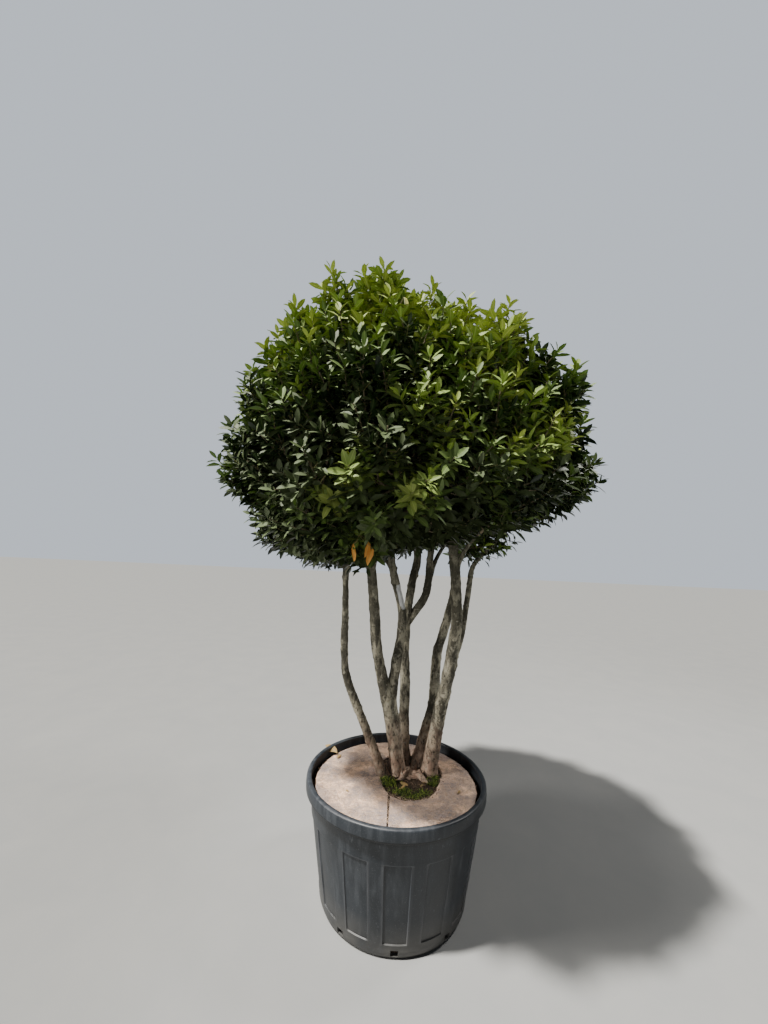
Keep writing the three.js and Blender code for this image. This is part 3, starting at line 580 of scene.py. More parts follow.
def bark():
    """Thin bark in mottled patches, with dark cracks, pale spots, a warm tint low down and bare scars, whose
    near-white wood is partly a painted highlight.
    """
    look = Finish("bark", 0.82, 0.3)
    along = (1.0, 1.0, 0.42)
    height = look.height()
    look.colour = look.mix(look.patches(24.0, 0.50, 0.09, along), (0.420, 0.395, 0.300),
                           (0.080, 0.075, 0.056))
    look.cover(look.between(height, 0.80, 0.50), 0.80, (0.500, 0.330, 0.245))
    look.cover(look.patches(9.0, 0.46, 0.10), 0.72, (0.060, 0.056, 0.044))
    look.cover(look.patches(105.0, 0.42, 0.05, along), 0.78, (0.020, 0.018, 0.013))
    look.cover(look.patches(38.0, 0.37, 0.05, (0.5, 0.5, 3.2)), 0.60, (0.028, 0.025, 0.018))
    look.cover(look.patches(48.0, 0.38, 0.04), 0.48, (0.44, 0.425, 0.34))
    look.cover(look.between(height, 1.05, 1.65), 0.60, (0.042, 0.041, 0.024))
    # Bare wood of the scar: pale wood, made near white as a painted highlight.
    wood = look.ramp(look.threads(420.0, 4.0, (1.0, 1.0, 0.06)),
                     (0.35, (0.46, 0.47, 0.48)), (0.65, (0.84, 0.85, 0.86)))
    look.colour = look.mix(look.attribute("bare"), look.colour, wood)
    return look.done(150.0, 0.6, 0.7, 0.004, along)


def coir_felt():
    """Matted coir fibres, bleached in patches and dusted dark in others; the dark grey-mauve patches are
    partly dust and partly painted dappled shadow.
    """
    look = Finish("coir_felt", 0.95, 0.15)
    fibres = look.threads(190.0, 8.0, Roughness=0.75, Distortion=1.6)
    look.colour = look.ramp(fibres, (0.30, (0.22, 0.14, 0.09)), (0.46, (0.57, 0.38, 0.26)),
                            (0.62, (0.87, 0.64, 0.48)))
    look.cover(look.patches(42.0, 0.46, 0.08), 0.50, (0.80, 0.55, 0.40))
    # Grey-mauve patches at two scales: partly dust, partly painted dappled shadow.
    look.cover(look.patches(8.3, 0.52, 0.09), 0.66, (0.185, 0.165, 0.170))
    look.cover(look.patches(19.0, 0.50, 0.08), 0.56, (0.165, 0.148, 0.155))
    return look.done(120.0, 0.5, 0.9, 0.006)


def moist_soil():
    look = Finish("moist_soil", 0.92, 0.25)
    look.colour = look.ramp(look.threads(130.0, 8.0, Roughness=0.7), (0.32, (0.010, 0.007, 0.005)),
                            (0.52, (0.045, 0.030, 0.020)), (0.72, (0.15, 0.10, 0.065)))
    return look.done(110.0, 0.8, 1.0, 0.008)


def plain_growth(name, colour, other, roughness):
    """Thin growth such as twigs, moss or dry bits, varied from place to place."""
    look = Finish(name, roughness, 0.35)
    look.colour = look.mix(look.patches(24.0, 0.5, 0.25), colour, other)
    return look.done(220.0, 0.3, 0.4, 0.002)


def leaf_surface(name, colour, other, rib, gloss):
    """A leathery leaf: glossy on top with a pale midrib, and matt and paler underneath."""
    look = Finish(name, gloss, 0.42)
    across = look.add("SeparateXYZ", {"Vector": look.add("UVMap", uv_map="UVMap").outputs["UV"]})
    off_rib = look.maths("ABSOLUTE", look.maths("SUBTRACT", across.outputs["X"], 0.5))
    varied = look.maths("ADD", look.patches(7.0, 0.5, 0.30), look.patches(42.0, 0.5, 0.22))
    look.colour = look.mix(look.maths("MULTIPLY", varied, 0.5), colour, other)
    look.cover(look.between(off_rib, 0.065, 0.025), 0.7, rib)
    under = look.mix(0.40, look.colour, (0.13, 0.17, 0.060))
    back = look.add("NewGeometry").outputs["Backfacing"]
    look.feed(Base_Color=look.mix(back, look.colour, under),
              Roughness=look.between(back, 0.0, 1.0, gloss, 0.62))
    look.bump(look.threads(160.0, 3.0), 0.22, 0.002)
    return look.material


# Crown

def below_belt(z):
    """How much of the way down from the belt to the hem a height is."""
    return np.clip((CROWN_BELT - z) / (CROWN_BELT - CROWN_HEM), 0, 1)


def middle_line(z):
    return CROWN_X + CROWN_LEAN * (z - CROWN_BELT)


def inside_crown(points, inset):
    """Which points are inside the crown's outline, by at least an inset."""
    across = points[..., 0] - middle_line(points[..., 2])
    level = points[..., 2] - HEM_SLOPE * across * below_belt(points[..., 2])
    upper = level > CROWN_BELT
    end = np.where(upper, CROWN_TOP - inset, CROWN_HEM + inset)
    part = np.clip((level - CROWN_BELT) / (end - CROWN_BELT), 0, 1)
    power = np.where(upper, UPPER_CURVE, LOWER_CURVE)
    radius = (CROWN_RADIUS - inset) * (1 - part ** power) ** (1 / power)
    return (part < 1) & (np.hypot(across, points[..., 1]) < radius)


def ring_middles():
    """The middle of each foliage mass, by name."""
    middles = {}
    for name, z, radius, count, first in RINGS:
        for i in range(count):
            across, back = polar(radius, math.radians(first + i * 360 / count))
            rise = HEM_SLOPE * across * float(below_belt(z))
            middles[f"{name}_{i + 1}"] = np.array([middle_line(z) + across, back, z + rise])
    return middles


MIDDLES = ring_middles()


def core_reach(name, direction):
    """How far the core of a mass reaches in a direction."""
    middle = MIDDLES[name]
    reach = CORE_RADIUS
    for other, place in MIDDLES.items():
        if other != name:
            length = np.linalg.norm(place - middle)
            slope = direction @ ((place - middle) / length)
            if slope > 1e-6:
                reach = min(reach, (length / 2 - CORE_CLEARANCE) / slope)
    while reach > CORE_LEAST and not inside_crown(middle + direction * reach, CORE_INSET):
        reach -= CORE_STEP
    return reach


# Limbs

def smooth_line(route):
    """A smooth curve through the points of a route, in short steps."""
    points = np.array(route)
    ends = np.vstack([2 * points[0] - points[1], points, 2 * points[-1] - points[-2]])
    t = np.linspace(0, 1, 24, endpoint=False)[:, None]
    steps = []
    for before, start, end, after in zip(ends, ends[1:], ends[2:], ends[3:]):
        leaving, arriving = (end - before) / 2, (after - start) / 2
        steps.append((2 * t ** 3 - 3 * t ** 2 + 1) * start + (t ** 3 - 2 * t ** 2 + t) * leaving
                     + (3 * t ** 2 - 2 * t ** 3) * end + (t ** 3 - t ** 2) * arriving)
    return np.vstack(steps + [points[-1:]])


def bezier(start, lead, before, end, count):
    """Points along a cubic curve."""
    t = np.linspace(0, 1, count)[:, None]
    return ((1 - t) ** 3 * start + 3 * (1 - t) ** 2 * t * lead + 3 * (1 - t) * t ** 2 * before
            + t ** 3 * end)


def evenly(line, spacing):
    """The points of a line again, at even steps along it, and its length."""
    along = np.concatenate([[0], np.cumsum(np.linalg.norm(np.diff(line, axis=0), axis=1))])
    places = np.linspace(0, along[-1], max(2, round(along[-1] / spacing) + 1))
    return np.stack([np.interp(places, along, line[:, axis]) for axis in range(3)], 1), along[-1]


def limb_end(mass, start, level):
    """The tip of a limb, outside the core of its mass, and the way from the mass's middle to it."""
    direction = np.array(start) - MIDDLES[mass]
    direction[2] *= 1 - level
    direction = unit(direction)
    return MIDDLES[mass] + direction * (core_reach(mass, direction) + BOUGH_STUB), direction


def make_limbs():
    """Stems, forked limbs and boughs: each has a line with a radius at each of its points."""
    limbs = []
    tips = {}
    for node, route, foot, tip_radius, mass in STEMS:
        tip, direction = limb_end(mass, route[-1], 0)
        line, length = evenly(smooth_line([*route, tip + direction * ENTRY_RUN, tip]), BARK_STEP)
        t = np.linspace(0, 1, len(line))
        radii = foot + (tip_radius - foot) * t ** STEM_TAPER
        if node.startswith("stem"):
            radii *= 1 + FLARE_SPREAD * np.exp(-t * length / FLARE_HEIGHT)
        limbs.append((node, line, radii))
        tips[mass] = (tip, direction, tip_radius)
    for mass, row, height in BOUGHS:
        _, parent, parent_radii = limbs[row]
        place = int(np.argmin(np.abs(parent[:, 2] - height)))
        start = parent[place]
        tip, direction = limb_end(mass, start, BOUGH_LEVEL)
        span = np.linalg.norm(tip - start)
        lead = start + unit(parent[place + 1] - start) * span * BOUGH_LEAD + UP * span * BOUGH_LIFT
        line, _ = evenly(bezier(start, lead, tip + direction * span * BOUGH_ENTRY, tip, 40), BOUGH_STEP)
        foot = THICKER_BOUGHS.get(mass, min(BOUGH_FOOT_RADIUS, parent_radii[place] * BOUGH_SHARE))
        limbs.append((f"bough_{mass}", line, np.linspace(foot, BOUGH_TIP_RADIUS, len(line))))
        tips[mass] = (tip, direction, BOUGH_TIP_RADIUS)
    return limbs, tips


def frames_along(line):
    """Two directions across a line at each point, turning as little as they can."""
    tangents = unit(np.gradient(line, axis=0))
    sideways = unit(np.cross(tangents[0], (0.2, 1.0, 0.1)))
    sides = []
    for tangent in tangents:
        sideways = unit(sideways - tangent * (sideways @ tangent))
        sides.append(sideways)
    return np.array(sides), np.cross(tangents, sides)


def marks_on(length, chance):
    """Rings where leaves once grew, and knots of old twigs: each has a place along the limb."""
    rings, place = [], chance.uniform(*NODE_SPACING)
    while place < length:
        rings.append((place, chance.uniform(0.0006, 0.0022), chance.uniform(0.004, 0.009),
                      chance.uniform(0, TURN)))
        place += chance.uniform(*NODE_SPACING)
    knots = [(chance.uniform(0, length), chance.uniform(0, TURN), chance.uniform(0.0020, 0.0062),
              chance.uniform(0.006, 0.012)) for _ in range(int(length * KNOTS_PER_METRE))]
    return rings, knots


def bark_reach(point, radius, angle, place, phase):
    """The reach of the bark at a point: the limb's radius with swellings, ridges at its foot and lumps."""
    share = sum(depth * wander(point, scale, phase) for depth, scale in SWELLINGS)
    ridges = 0.17 * math.sin(3 * angle + phase) * math.exp(-place / 0.08)
    lumps = sum(height * wander(point, scale, phase) for height, scale in LUMPS)
    return radius * (1 + share + ridges) + lumps


def scar_share(z, way):
    """1 inside the scar on its limb, and 0 well outside it."""
    along = (z - SCAR_HEIGHTS[0]) / (SCAR_HEIGHTS[1] - SCAR_HEIGHTS[0])
    if not 0 < along < 1:
        return 0.0
    width = 0.72 - 0.42 * math.sin(math.pi * along) ** 0.6
    return clamped((Vector(way).dot(SCAR_WAY) - width) / 0.16 + 0.5)


def bark_tube(line, radii, sides, scarred, chance):
    """Points and faces of a limb with its bark's relief, closed at both ends, and where it is bare."""
    across, beside = frames_along(line)
    phase = chance.uniform(0, 20)
    spacing = np.linalg.norm(line[1] - line[0])
    rings, knots = marks_on(spacing * len(line), chance) if sides > ROOT_SIDES else ([], [])
    points, bare = [], []
    for row, (middle, radius) in enumerate(zip(line, radii)):
        place = row * spacing
        near_rings = [mark for mark in rings if abs(place - mark[0]) < 3 * mark[2]]
        near_knots = [mark for mark in knots if abs(place - mark[0]) < 3 * mark[3]]
        for column in range(sides):
            angle = TURN * column / sides
            way = across[row] * math.cos(angle) + beside[row] * math.sin(angle)
            reach = bark_reach(middle + way * radius, radius, angle, place, phase)
            for ring, rise, width, turn in near_rings:
                share = 0.6 + 0.4 * math.cos(angle - turn)
                reach += rise * share * math.exp(-((place - ring) / width) ** 2)
            for knot, turn, rise, width in near_knots:
                aside = math.remainder(angle - turn, TURN) * radius / width
                along = (place - knot) / width
                reach += rise * math.exp(-(along * along + aside * aside))
            scar = scar_share(middle[2], way) if scarred else 0.0
            points.append(middle + way * (reach + SCAR_DEPTH * (2.2 * scar * (1 - scar) - scar)))
            bare.append(float(scar > 0.5))
    last = len(points) - sides
    ends = [tuple(reversed(range(sides))), tuple(range(last, last + sides))]
    return points, grid_faces(len(line), sides, True) + ends, bare


def crown_foot(chance):
    """The knobbly foot that the stems grow from, as far as it stands out of the soil."""
    middle, half = CROWN_FOOT
    columns, rows = 80, 26
    phase = chance.uniform(0, 20)
    points = []
    for row in range(rows):
        rise = math.pi / 2 * row / rows
        for column in range(columns):
            way = polar(math.cos(rise), TURN * column / columns, math.sin(rise))
            lumps = sum((share * wander(way, scale, phase) for share, scale in CROWN_FOOT_LUMPS), 1)
            points.append([middle[i] + half[i] * way[i] * lumps for i in range(3)])
    top = len(points)
    points.append([middle[0], middle[1], middle[2] + half[2]])
    faces = grid_faces(rows, columns, True) + fan(top, top - columns, columns)
    faces.append(tuple(reversed(range(columns))))
    return points, faces, [0.0] * len(points)


def woody_piece(name, parts, material, nodes=()):
    points, faces, bare = [], [], []
    for part_points, part_faces, part_bare in parts:
        faces += [tuple(len(points) + corner for corner in face) for face in part_faces]
        points += part_points
        bare += part_bare
    piece = new_piece(name, points, faces, material, values=[("bare", "FLOAT", bare)])
    smooth(piece, 80)
    settle(piece, "bark", *nodes)


def make_woody(limbs):
    chance = random.Random(SEED)
    material = bark()
    by_node = {}
    for row, (node, line, radii) in enumerate(limbs):
        tube = bark_tube(line, radii, BARK_SIDES[node.split("_")[0]], row == SCAR_LIMB, chance)
        by_node.setdefault(node, []).append(tube)
    boughs = [node for node in by_node if node.startswith("bough")]
    for node, parts in by_node.items():
        if node not in boughs:
            woody_piece(f"bark_{node}", parts, material, [node])
    parts = [crown_foot(chance)]
    for *route, radius in ROOTS:
        line, _ = evenly(smooth_line(route), BARK_STEP)
        radii = np.linspace(radius, radius * 0.55, len(line))
        parts.append(bark_tube(line, radii, ROOT_SIDES, False, chance))
    woody_piece("root_crown", parts, material)
    woody_piece("boughs", [part for node in boughs for part in by_node[node]], material, boughs)


# Shoots and twigs

def outline_distance(directions):
    """How far the crown's outline is from its middle, in each direction."""
    steps = np.arange(0.0, 1.5, 0.01)
    inside = inside_crown(CROWN_MIDDLE + directions[:, None, :] * steps[None, :, None], 0)
    return steps[np.argmax(~inside, axis=1)]


def spiral_directions(count, spin):
    """Directions spread evenly over a ball."""
    i = np.arange(count)
    height = 1 - 2 * (i + 0.5) / count
    across = np.sqrt(1 - height ** 2)
    angle = spin + i * GOLDEN_TURN
    return np.stack([across * np.cos(angle), across * np.sin(angle), height], 1)


def near_limbs(points, limbs):
    """Which points are too near a limb."""
    near = np.zeros(len(points), bool)
    for _, line, radii in limbs:
        for middle, radius in zip(line[::3], radii[::3]):
            near |= np.linalg.norm(points - middle, axis=1) < radius + LIMB_CLEARANCE
    return near


def branchlet(tip, way, depth, draw):
    """A leafy branchlet: its foot and tip, and the tips and ways of the shoots on it."""
    across = unit(np.cross(way, draw.normal(0, 1, 3)))
    beside = np.cross(way, across)
    count = int(draw.integers(*SHOOTS_PER_BRANCHLET))
    tips, ways = [tip], [unit(way + UP * 0.55 + draw.normal(0, 0.12, 3))]
    for i in range(1, count + 1):
        side = across * math.cos(i * GOLDEN_TURN) + beside * math.sin(i * GOLDEN_TURN)
        back = BRANCHLET_LENGTH * (0.12 + 0.80 * i / count)
        tips.append(tip - way * back + side * draw.uniform(*SHOOT_OUT))
        ways.append(unit(way * 0.50 + side * 0.55 + UP * 0.72 + draw.normal(0, 0.15, 3)))
    return {"tip": tip, "way": way, "foot": tip - way * (BRANCHLET_LENGTH + 0.03), "depth": depth,
            "tips": np.array(tips), "ways": np.array(ways)}


def branchlet_way(direction, draw):
    """Branchlets turn up towards the light as they leave the crown, less so at its underside."""
    lift = draw.uniform(0.95, 1.60) * (1 - 0.4 * abs(direction[2]))
    level = -direction[2] * draw.uniform(0.8, 1.3)
    lift += (level - lift) * clamped(-direction[2] / 0.4)
    return unit(direction + UP * lift + draw.normal(0, 0.22, 3))


def dip_at(aim):
    """How far the outline draws in, in a direction."""
    return sum(depth * math.exp(-((1 - aim @ unit(np.array(place) - CROWN_MIDDLE)) / (width ** 2 / 2)))
               for place, depth, width in DIPS)


def hem_level(points):
    """The height of the crown's lowest leaves over each point."""
    across, heights = zip(*HEM_LEVELS)
    waves = [wander((x, y, 0.0), 4.2, 2.0) + 0.6 * wander((x, y, 0.0), 10.0, 6.0) for x, y, _ in points]
    return np.interp(points[:, 0], across, heights) + HEM_WAVES * np.array(waves)


def raise_to_hem(sprig, draw):
    """Lifts a branchlet, then each of its shoots, so that its leaves end at the crown's hem."""
    level = hem_level(sprig["tip"][None])[0] + HEM_DROOP
    rise = level + 0.09 * draw.random() ** 1.5 - sprig["tip"][2]
    if rise > 0:
        for part in ("tip", "foot", "tips"):
            sprig[part] = sprig[part] + UP * rise
    low = level + 0.05 * draw.random(len(sprig["tips"])) - 0.015 - sprig["tips"][:, 2]
    sprig["tips"] = sprig["tips"] + UP * np.maximum(low, 0)[:, None]
    sprig["foot"] = sprig["foot"] + UP * max(level - 0.01 - sprig["foot"][2], 0)


def make_branchlets(limbs, draw):
    """Branchlets in shells under the crown's outline, and some that stand out of it."""
    sprigs = []
    for place, proud in PROUD_BRANCHLETS:
        direction = unit(np.array(place) - CROWN_MIDDLE)
        for k in range(3):
            aim = unit(direction + draw.normal(0, 0.045, 3) * (k > 0))
            distance = outline_distance(aim[None])[0]
            tip = CROWN_MIDDLE + aim * (distance + proud - SHOOT_REACH - 0.035 * k)
            sprigs.append(branchlet(tip, branchlet_way(aim, draw), 0.0, draw))
    for count, depth, spread in SHELLS:
        directions = unit(spiral_directions(count, draw.uniform(0, TURN))
                          + draw.normal(0, 0.035, (count, 3)))
        for aim, distance in zip(directions, outline_distance(directions)):
            if draw.random() > (distance / 1.02) ** 1.4:
                continue
            tuft = wander(aim, TUFT_SCALE, 3.0) + 0.7 * wander(aim, 2.7 * TUFT_SCALE, 8.0)
            inset = OUTLINE_INSET + depth + spread * draw.random() - TUFT_HEIGHT * min(tuft, 0.9)
            tip = CROWN_MIDDLE + aim * (distance - inset - dip_at(aim) - SHOOT_REACH)
            sprigs.append(branchlet(tip, branchlet_way(aim, draw), depth, draw))
    for sprig in sprigs:
        raise_to_hem(sprig, draw)
    for place in HEM_BRANCHLETS:
        way = unit(unit(np.array(place) - CROWN_MIDDLE) * (1, 1, 0.3) + draw.normal(0, 0.2, 3))
        sprigs.append(branchlet(np.array(place), way, 0.0, draw))
    for sprig in sprigs:
        keep = ~near_limbs(sprig["tips"], limbs)
        sprig["tips"], sprig["ways"] = sprig["tips"][keep], sprig["ways"][keep]
    return [sprig for sprig in sprigs if len(sprig["tips"])]


def spread_picks(points, count, draw):
    """Picks points that lie far from one another, and says which pick each point is nearest to."""
    picks = [int(draw.integers(len(points)))]
    nearest = np.linalg.norm(points - points[picks[0]], axis=1)
    while len(picks) < min(count, len(points)):
        picks.append(int(np.argmax(nearest)))
        nearest = np.minimum(nearest, np.linalg.norm(points - points[picks[-1]], axis=1))
    return np.argmin(np.linalg.norm(points[:, None] - points[picks][None], axis=2), axis=1)


def grow_mass(middle, entry, sprigs, draw, growth):
    """Divides a mass's stem into twigs that reach each branchlet. Growth gathers lines and their radii."""
    tip, direction, radius = entry
    stem = bezier(tip, tip - direction * 0.05, middle + direction * 0.08, middle, 6)
    growth["branches"].append((stem, (radius, BRANCH_RADII[0])))
    feet = np.array([sprig["foot"] for sprig in sprigs])
    owner = spread_picks(feet, max(1, round(len(feet) / BRANCHLETS_PER_BRANCH)), draw)
    for i in range(owner.max() + 1):
        members = np.flatnonzero(owner == i)
        run = (feet[members].mean(axis=0) - middle) * 0.66
        end = middle + run
        stray = draw.normal(0, 0.13, (2, 3)) * np.linalg.norm(run)
        branch = bezier(middle, middle + run * 0.35 + stray[0], end - run * 0.3 + stray[1], end, 9)
        growth["branches"].append((branch, BRANCH_RADII))
        for member in members:
            grow_branchlet(branch, sprigs[member], draw, growth)


def grow_branchlet(branch, sprig, draw, growth):
    """A twig from a branch to a branchlet's tip, with a thin stem from it to each of its shoots."""
    start = branch[int(draw.integers(4, len(branch)))]
    foot, tip, way = sprig["foot"], sprig["tip"], sprig["way"]
    span = np.linalg.norm(foot - start)
    lead = start + unit(branch[-1] - branch[0]) * span * 0.3
    entry = bezier(start, lead, foot - way * span * 0.3, foot, 6)
    stray = draw.normal(0, 0.006, (2, 3))
    run = tip - foot
    leafy = bezier(foot, foot + run * 0.33 + stray[0], tip - run * 0.33 + stray[1], tip, 8)
    entry[1:, 2] = np.maximum(entry[1:, 2], hem_level(entry[1:]) + 0.02)
    growth["twigs"].append((np.vstack([entry, leafy[1:]]), TWIG_RADII))
    for shoot, aim in zip(sprig["tips"], sprig["ways"]):
        back = (tip - shoot) @ way
        if back >= 0.005:
            part = 1 - (back + SHOOT_STALK) / np.linalg.norm(run)
            root = leafy[max(0, min(6, int(7 * part)))]
            stem = bezier(root, root + way * 0.012, shoot - aim * SHOOT_STALK, shoot, 4)
            growth["shoot_stems"].append((stem, SHOOT_RADII))


def named(tree, name, data_type="FLOAT"):
    """A named attribute as a field."""
    node = add(tree, "GeometryNodeInputNamedAttribute", {"Name": name}, data_type=data_type)
    return node.outputs["Attribute"]


def paint(tree, geometry, source, result):
    """Ends a Geometry Nodes group: its geometry made real, in its material."""
    whole = add(tree, "GeometryNodeRealizeInstances", {"Geometry": geometry})
    painted = add(tree, "GeometryNodeSetMaterial", {
        "Geometry": whole.outputs["Geometry"], "Material": source["Material"]})
    tree.links.new(painted.outputs["Geometry"], result)


def lines_to_tubes():
    """Geometry Nodes that turn lines with a radius at each point into tubes."""
    tree, source, result = new_group("lines_to_tubes", "GeometryNodeTree", (
        ("Geometry", "Geometry"), ("Sides", "Int", 3), ("Material", "Material")), ("Geometry", "Geometry"))
    lines = add(tree, "GeometryNodeMeshToCurve", {"Mesh": source["Geometry"]})
    section = add(tree, "GeometryNodeCurvePrimitiveCircle", {
        "Resolution": source["Sides"], "Radius": 1.0}, mode="RADIUS")
    tubes = add(tree, "GeometryNodeCurveToMesh", {
        "Curve": lines.outputs["Curve"], "Profile Curve": section.outputs["Curve"],
        "Scale": named(tree, "radius"), "Fill Caps": True})
    paint(tree, tubes.outputs["Mesh"], source, result)
    return tree


def sprays_on_points():
    """Geometry Nodes that put a spray on each point, along its axis and turned by its spin."""
    tree, source, result = new_group("sprays_on_points", "GeometryNodeTree", (
        ("Geometry", "Geometry"), ("Sprays", "Collection"), ("Material", "Material"),
        ("Size", "Float", 1.0)), ("Geometry", "Geometry"))
    upright = add(tree, "FunctionNodeAlignRotationToVector", {
        "Vector": named(tree, "axis", "FLOAT_VECTOR")}, axis="Z")
    around = add(tree, "ShaderNodeCombineXYZ", {"Z": named(tree, "spin")})
    spun = add(tree, "FunctionNodeEulerToRotation", {"Euler": around.outputs["Vector"]})
    turned = add(tree, "FunctionNodeRotateRotation", {
        "Rotation": upright.outputs["Rotation"], "Rotate By": spun.outputs["Rotation"]},
        rotation_space="LOCAL")
    sprays = add(tree, "GeometryNodeCollectionInfo", {
        "Collection": source["Sprays"], "Separate Children": True, "Reset Children": True})
    placed = add(tree, "GeometryNodeInstanceOnPoints", {
        "Points": source["Geometry"], "Instance": sprays.outputs["Instances"], "Pick Instance": True,
        "Instance Index": named(tree, "kind", "INT"), "Rotation": turned.outputs["Rotation"],
        "Scale": maths(tree, "MULTIPLY", named(tree, "size"), source["Size"])})
    paint(tree, placed.outputs["Instances"], source, result)
    return tree


TUBES = lines_to_tubes()
SPRAYS = sprays_on_points()


def run_nodes(name, source, tree, inputs):
    """Runs Geometry Nodes on an object once, and puts a plain mesh of their result in its stead."""
    modifier = source.modifiers.new(tree.name, "NODES")
    modifier.node_group = tree
    for item in tree.interface.items_tree:
        if item.name in inputs:
            modifier[item.identifier] = inputs[item.name]
    bpy.context.view_layer.update()
    evaluated = source.evaluated_get(bpy.context.evaluated_depsgraph_get())
    mesh = bpy.data.meshes.new_from_object(evaluated)
    mesh.name = name
    source.modifiers.remove(modifier)
    bpy.data.objects.remove(source, do_unlink=True)
    return new_object(name, mesh)


def make_tubes(name, rows, sides, material, slot, *nodes):
    """One piece of thin growth, from lines with their radii at the foot and at the tip."""
    points, radii, edges = [], [], []
    for line, ends in rows:
        edges += [(i, i + 1) for i in range(len(points), len(points) + len(line) - 1)]
        points += list(line)
        radii += list(np.linspace(*ends, len(line)))
    lines = new_piece("lines", points, edges=edges, values=[("radius", "FLOAT", radii)])
    piece = run_nodes(name, lines, TUBES, {"Sides": sides, "Material": material})
    smooth(piece)
    settle(piece, slot, *nodes)


def scatter(name, places, axes, draw, shapes, size, material, slot):
    """One piece made of a shape from a collection at each place, along its axis."""
    count = len(places)
    points = new_piece("places", places, values=[
        ("axis", "FLOAT_VECTOR", axes.ravel()),
        ("spin", "FLOAT", draw.uniform(0, TURN, count)),
        ("size", "FLOAT", draw.uniform(0.82, 1.12, count)),
        ("kind", "INT", draw.integers(0, len(shapes.objects), count))])
    settle(run_nodes(name, points, SPRAYS, {"Sprays": shapes, "Material": material, "Size": size}), slot)


def collected(name, pieces):
    """Moves pieces out of the scene into a collection that Geometry Nodes draw from."""
    collection = bpy.data.collections.new(name)
    for piece in pieces:
        bpy.context.scene.collection.objects.unlink(piece)
        collection.objects.link(piece)
    return collection


def make_twigs(growth):
    wood = plain_growth("twig_bark", (0.20, 0.165, 0.105), (0.105, 0.088, 0.052), 0.75)
    green = plain_growth("shoot_bark", (0.25, 0.26, 0.090), (0.17, 0.145, 0.070), 0.6)
    nodes = [node for node in frame["nodes"] if node.startswith("foliage")]
    make_tubes("branches", growth["branches"], 6, wood, "bark")
    make_tubes("twigs", growth["twigs"], 5, wood, "bark", *nodes)
    make_tubes("shoot_stems", growth["shoot_stems"], 3, green, "leaf")


# Leaves

def add_leaf(pile, shape, root, along, side, outline=FINE_LEAF):
    """Adds a leaf to a pile of corners, faces and UV places. Shape: length, width, fold, droop, wave."""
    corners, faces, places = pile
    length, width, fold, droop, wave = shape
    midrib, edges = outline
    first, inner = len(corners), len(midrib) - 2
    spots = [(part, 0.0, 0) for part in midrib]
    spots += [(part, share, way) for way in (1, -1) for part, share in edges]
    for part, share, way in spots:
        half = width * length / 2 * share
        rise = half * fold + wave * half * math.sin(9 * part + way) - droop * length * part ** 2.2
        corners.append(root + along * (part * length) + side * (way * half) + np.cross(along, side) * rise)
        places.append((0.5 + way * 0.5 * share, part))
    for edge, turned in ((2 + inner, False), (2 + 2 * inner, True)):
        strip = [(0, edge, 1), *((i, edge + i - 1, edge + i, i + 1) for i in range(1, inner)),
                 (inner, edge + inner - 1, inner + 1)]
        faces += [tuple(first + corner for corner in face)
                  for face in (flipped(strip) if turned else strip)]


def leaf_piece(name, pile, material=None):
    """A piece of leaves with their UV map."""
    corners, faces, places = pile
    piece = new_piece(name, corners, faces, material)
    layer = piece.data.uv_layers.new(name="UVMap")
    for loop in piece.data.loops:
        layer.data[loop.index].uv = places[loop.vertex_index]
    smooth(piece)
    return piece


def make_spray(name, count, outline, draw):
    """A shoot's leaves round the Z axis, which turn by the golden angle and open out downwards."""
    pile = ([], [], [])
    for i in range(count):
        lower = i / (count - 1)
        tilt = math.radians(24 + 62 * lower ** 0.62 + draw.uniform(-9, 9))
        turn = i * GOLDEN_TURN + draw.uniform(-0.25, 0.25)
        length = LEAF_LENGTH * (0.58 + 0.48 * math.sin(math.pi * (0.14 + 0.62 * lower)))
        shape = (length * draw.uniform(0.88, 1.12), LEAF_WIDTH * draw.uniform(0.86, 1.14),
                 draw.uniform(0.12, 0.40), draw.uniform(0.06, 0.24), draw.uniform(-0.12, 0.12))
        twist = draw.uniform(-0.35, 0.35)
        way = np.array(polar(1, turn, 0))
        along = way * math.sin(tilt) + UP * math.cos(tilt)
        face = UP * math.sin(tilt) - way * math.cos(tilt)
        side = np.cross(face, along) * math.cos(twist) + face * math.sin(twist)
        root = UP * (0.002 - SHOOT_LENGTH * 0.80 * lower) + way * 0.001
        add_leaf(pile, shape, root, along, side, outline)
    return leaf_piece(name, pile)


def leaf_scores(sprig, draw):
    """How young and how lit a branchlet's sprays look, from their height, the way they face and their depth:
    partly young growth, partly painted light and painted shade.
    """
    tips, ways = sprig["tips"], sprig["ways"]
    height = (tips[:, 2] - CROWN_HEM) / (CROWN_TOP - CROWN_HEM)
    patch = wander(sprig["tip"], 2.4, 5.0) * 0.34 + float(draw.normal(0, 0.12))
    # Height and facing up raise the score, partly as young growth and partly as painted light; depth in the
    # crown lowers it as painted shade.
    score = 0.82 * height - 0.03 + 0.20 * ways[:, 2] - 0.10 + 0.08 * tips[:, 0] - 2.4 * sprig["depth"] + patch
    score[0] += 0.12
    # Painted sunlight: sprays near the front tufts get lighter, younger colours.
    apart = (sprig["tip"] - PAINTED_SUNLIT_TUFTS) * (1, 0.3, 1)
    score += 0.44 * math.exp(-(np.linalg.norm(apart, axis=1).min() / TUFT_REACH) ** 2)
    return score + draw.normal(0, 0.08, len(tips))


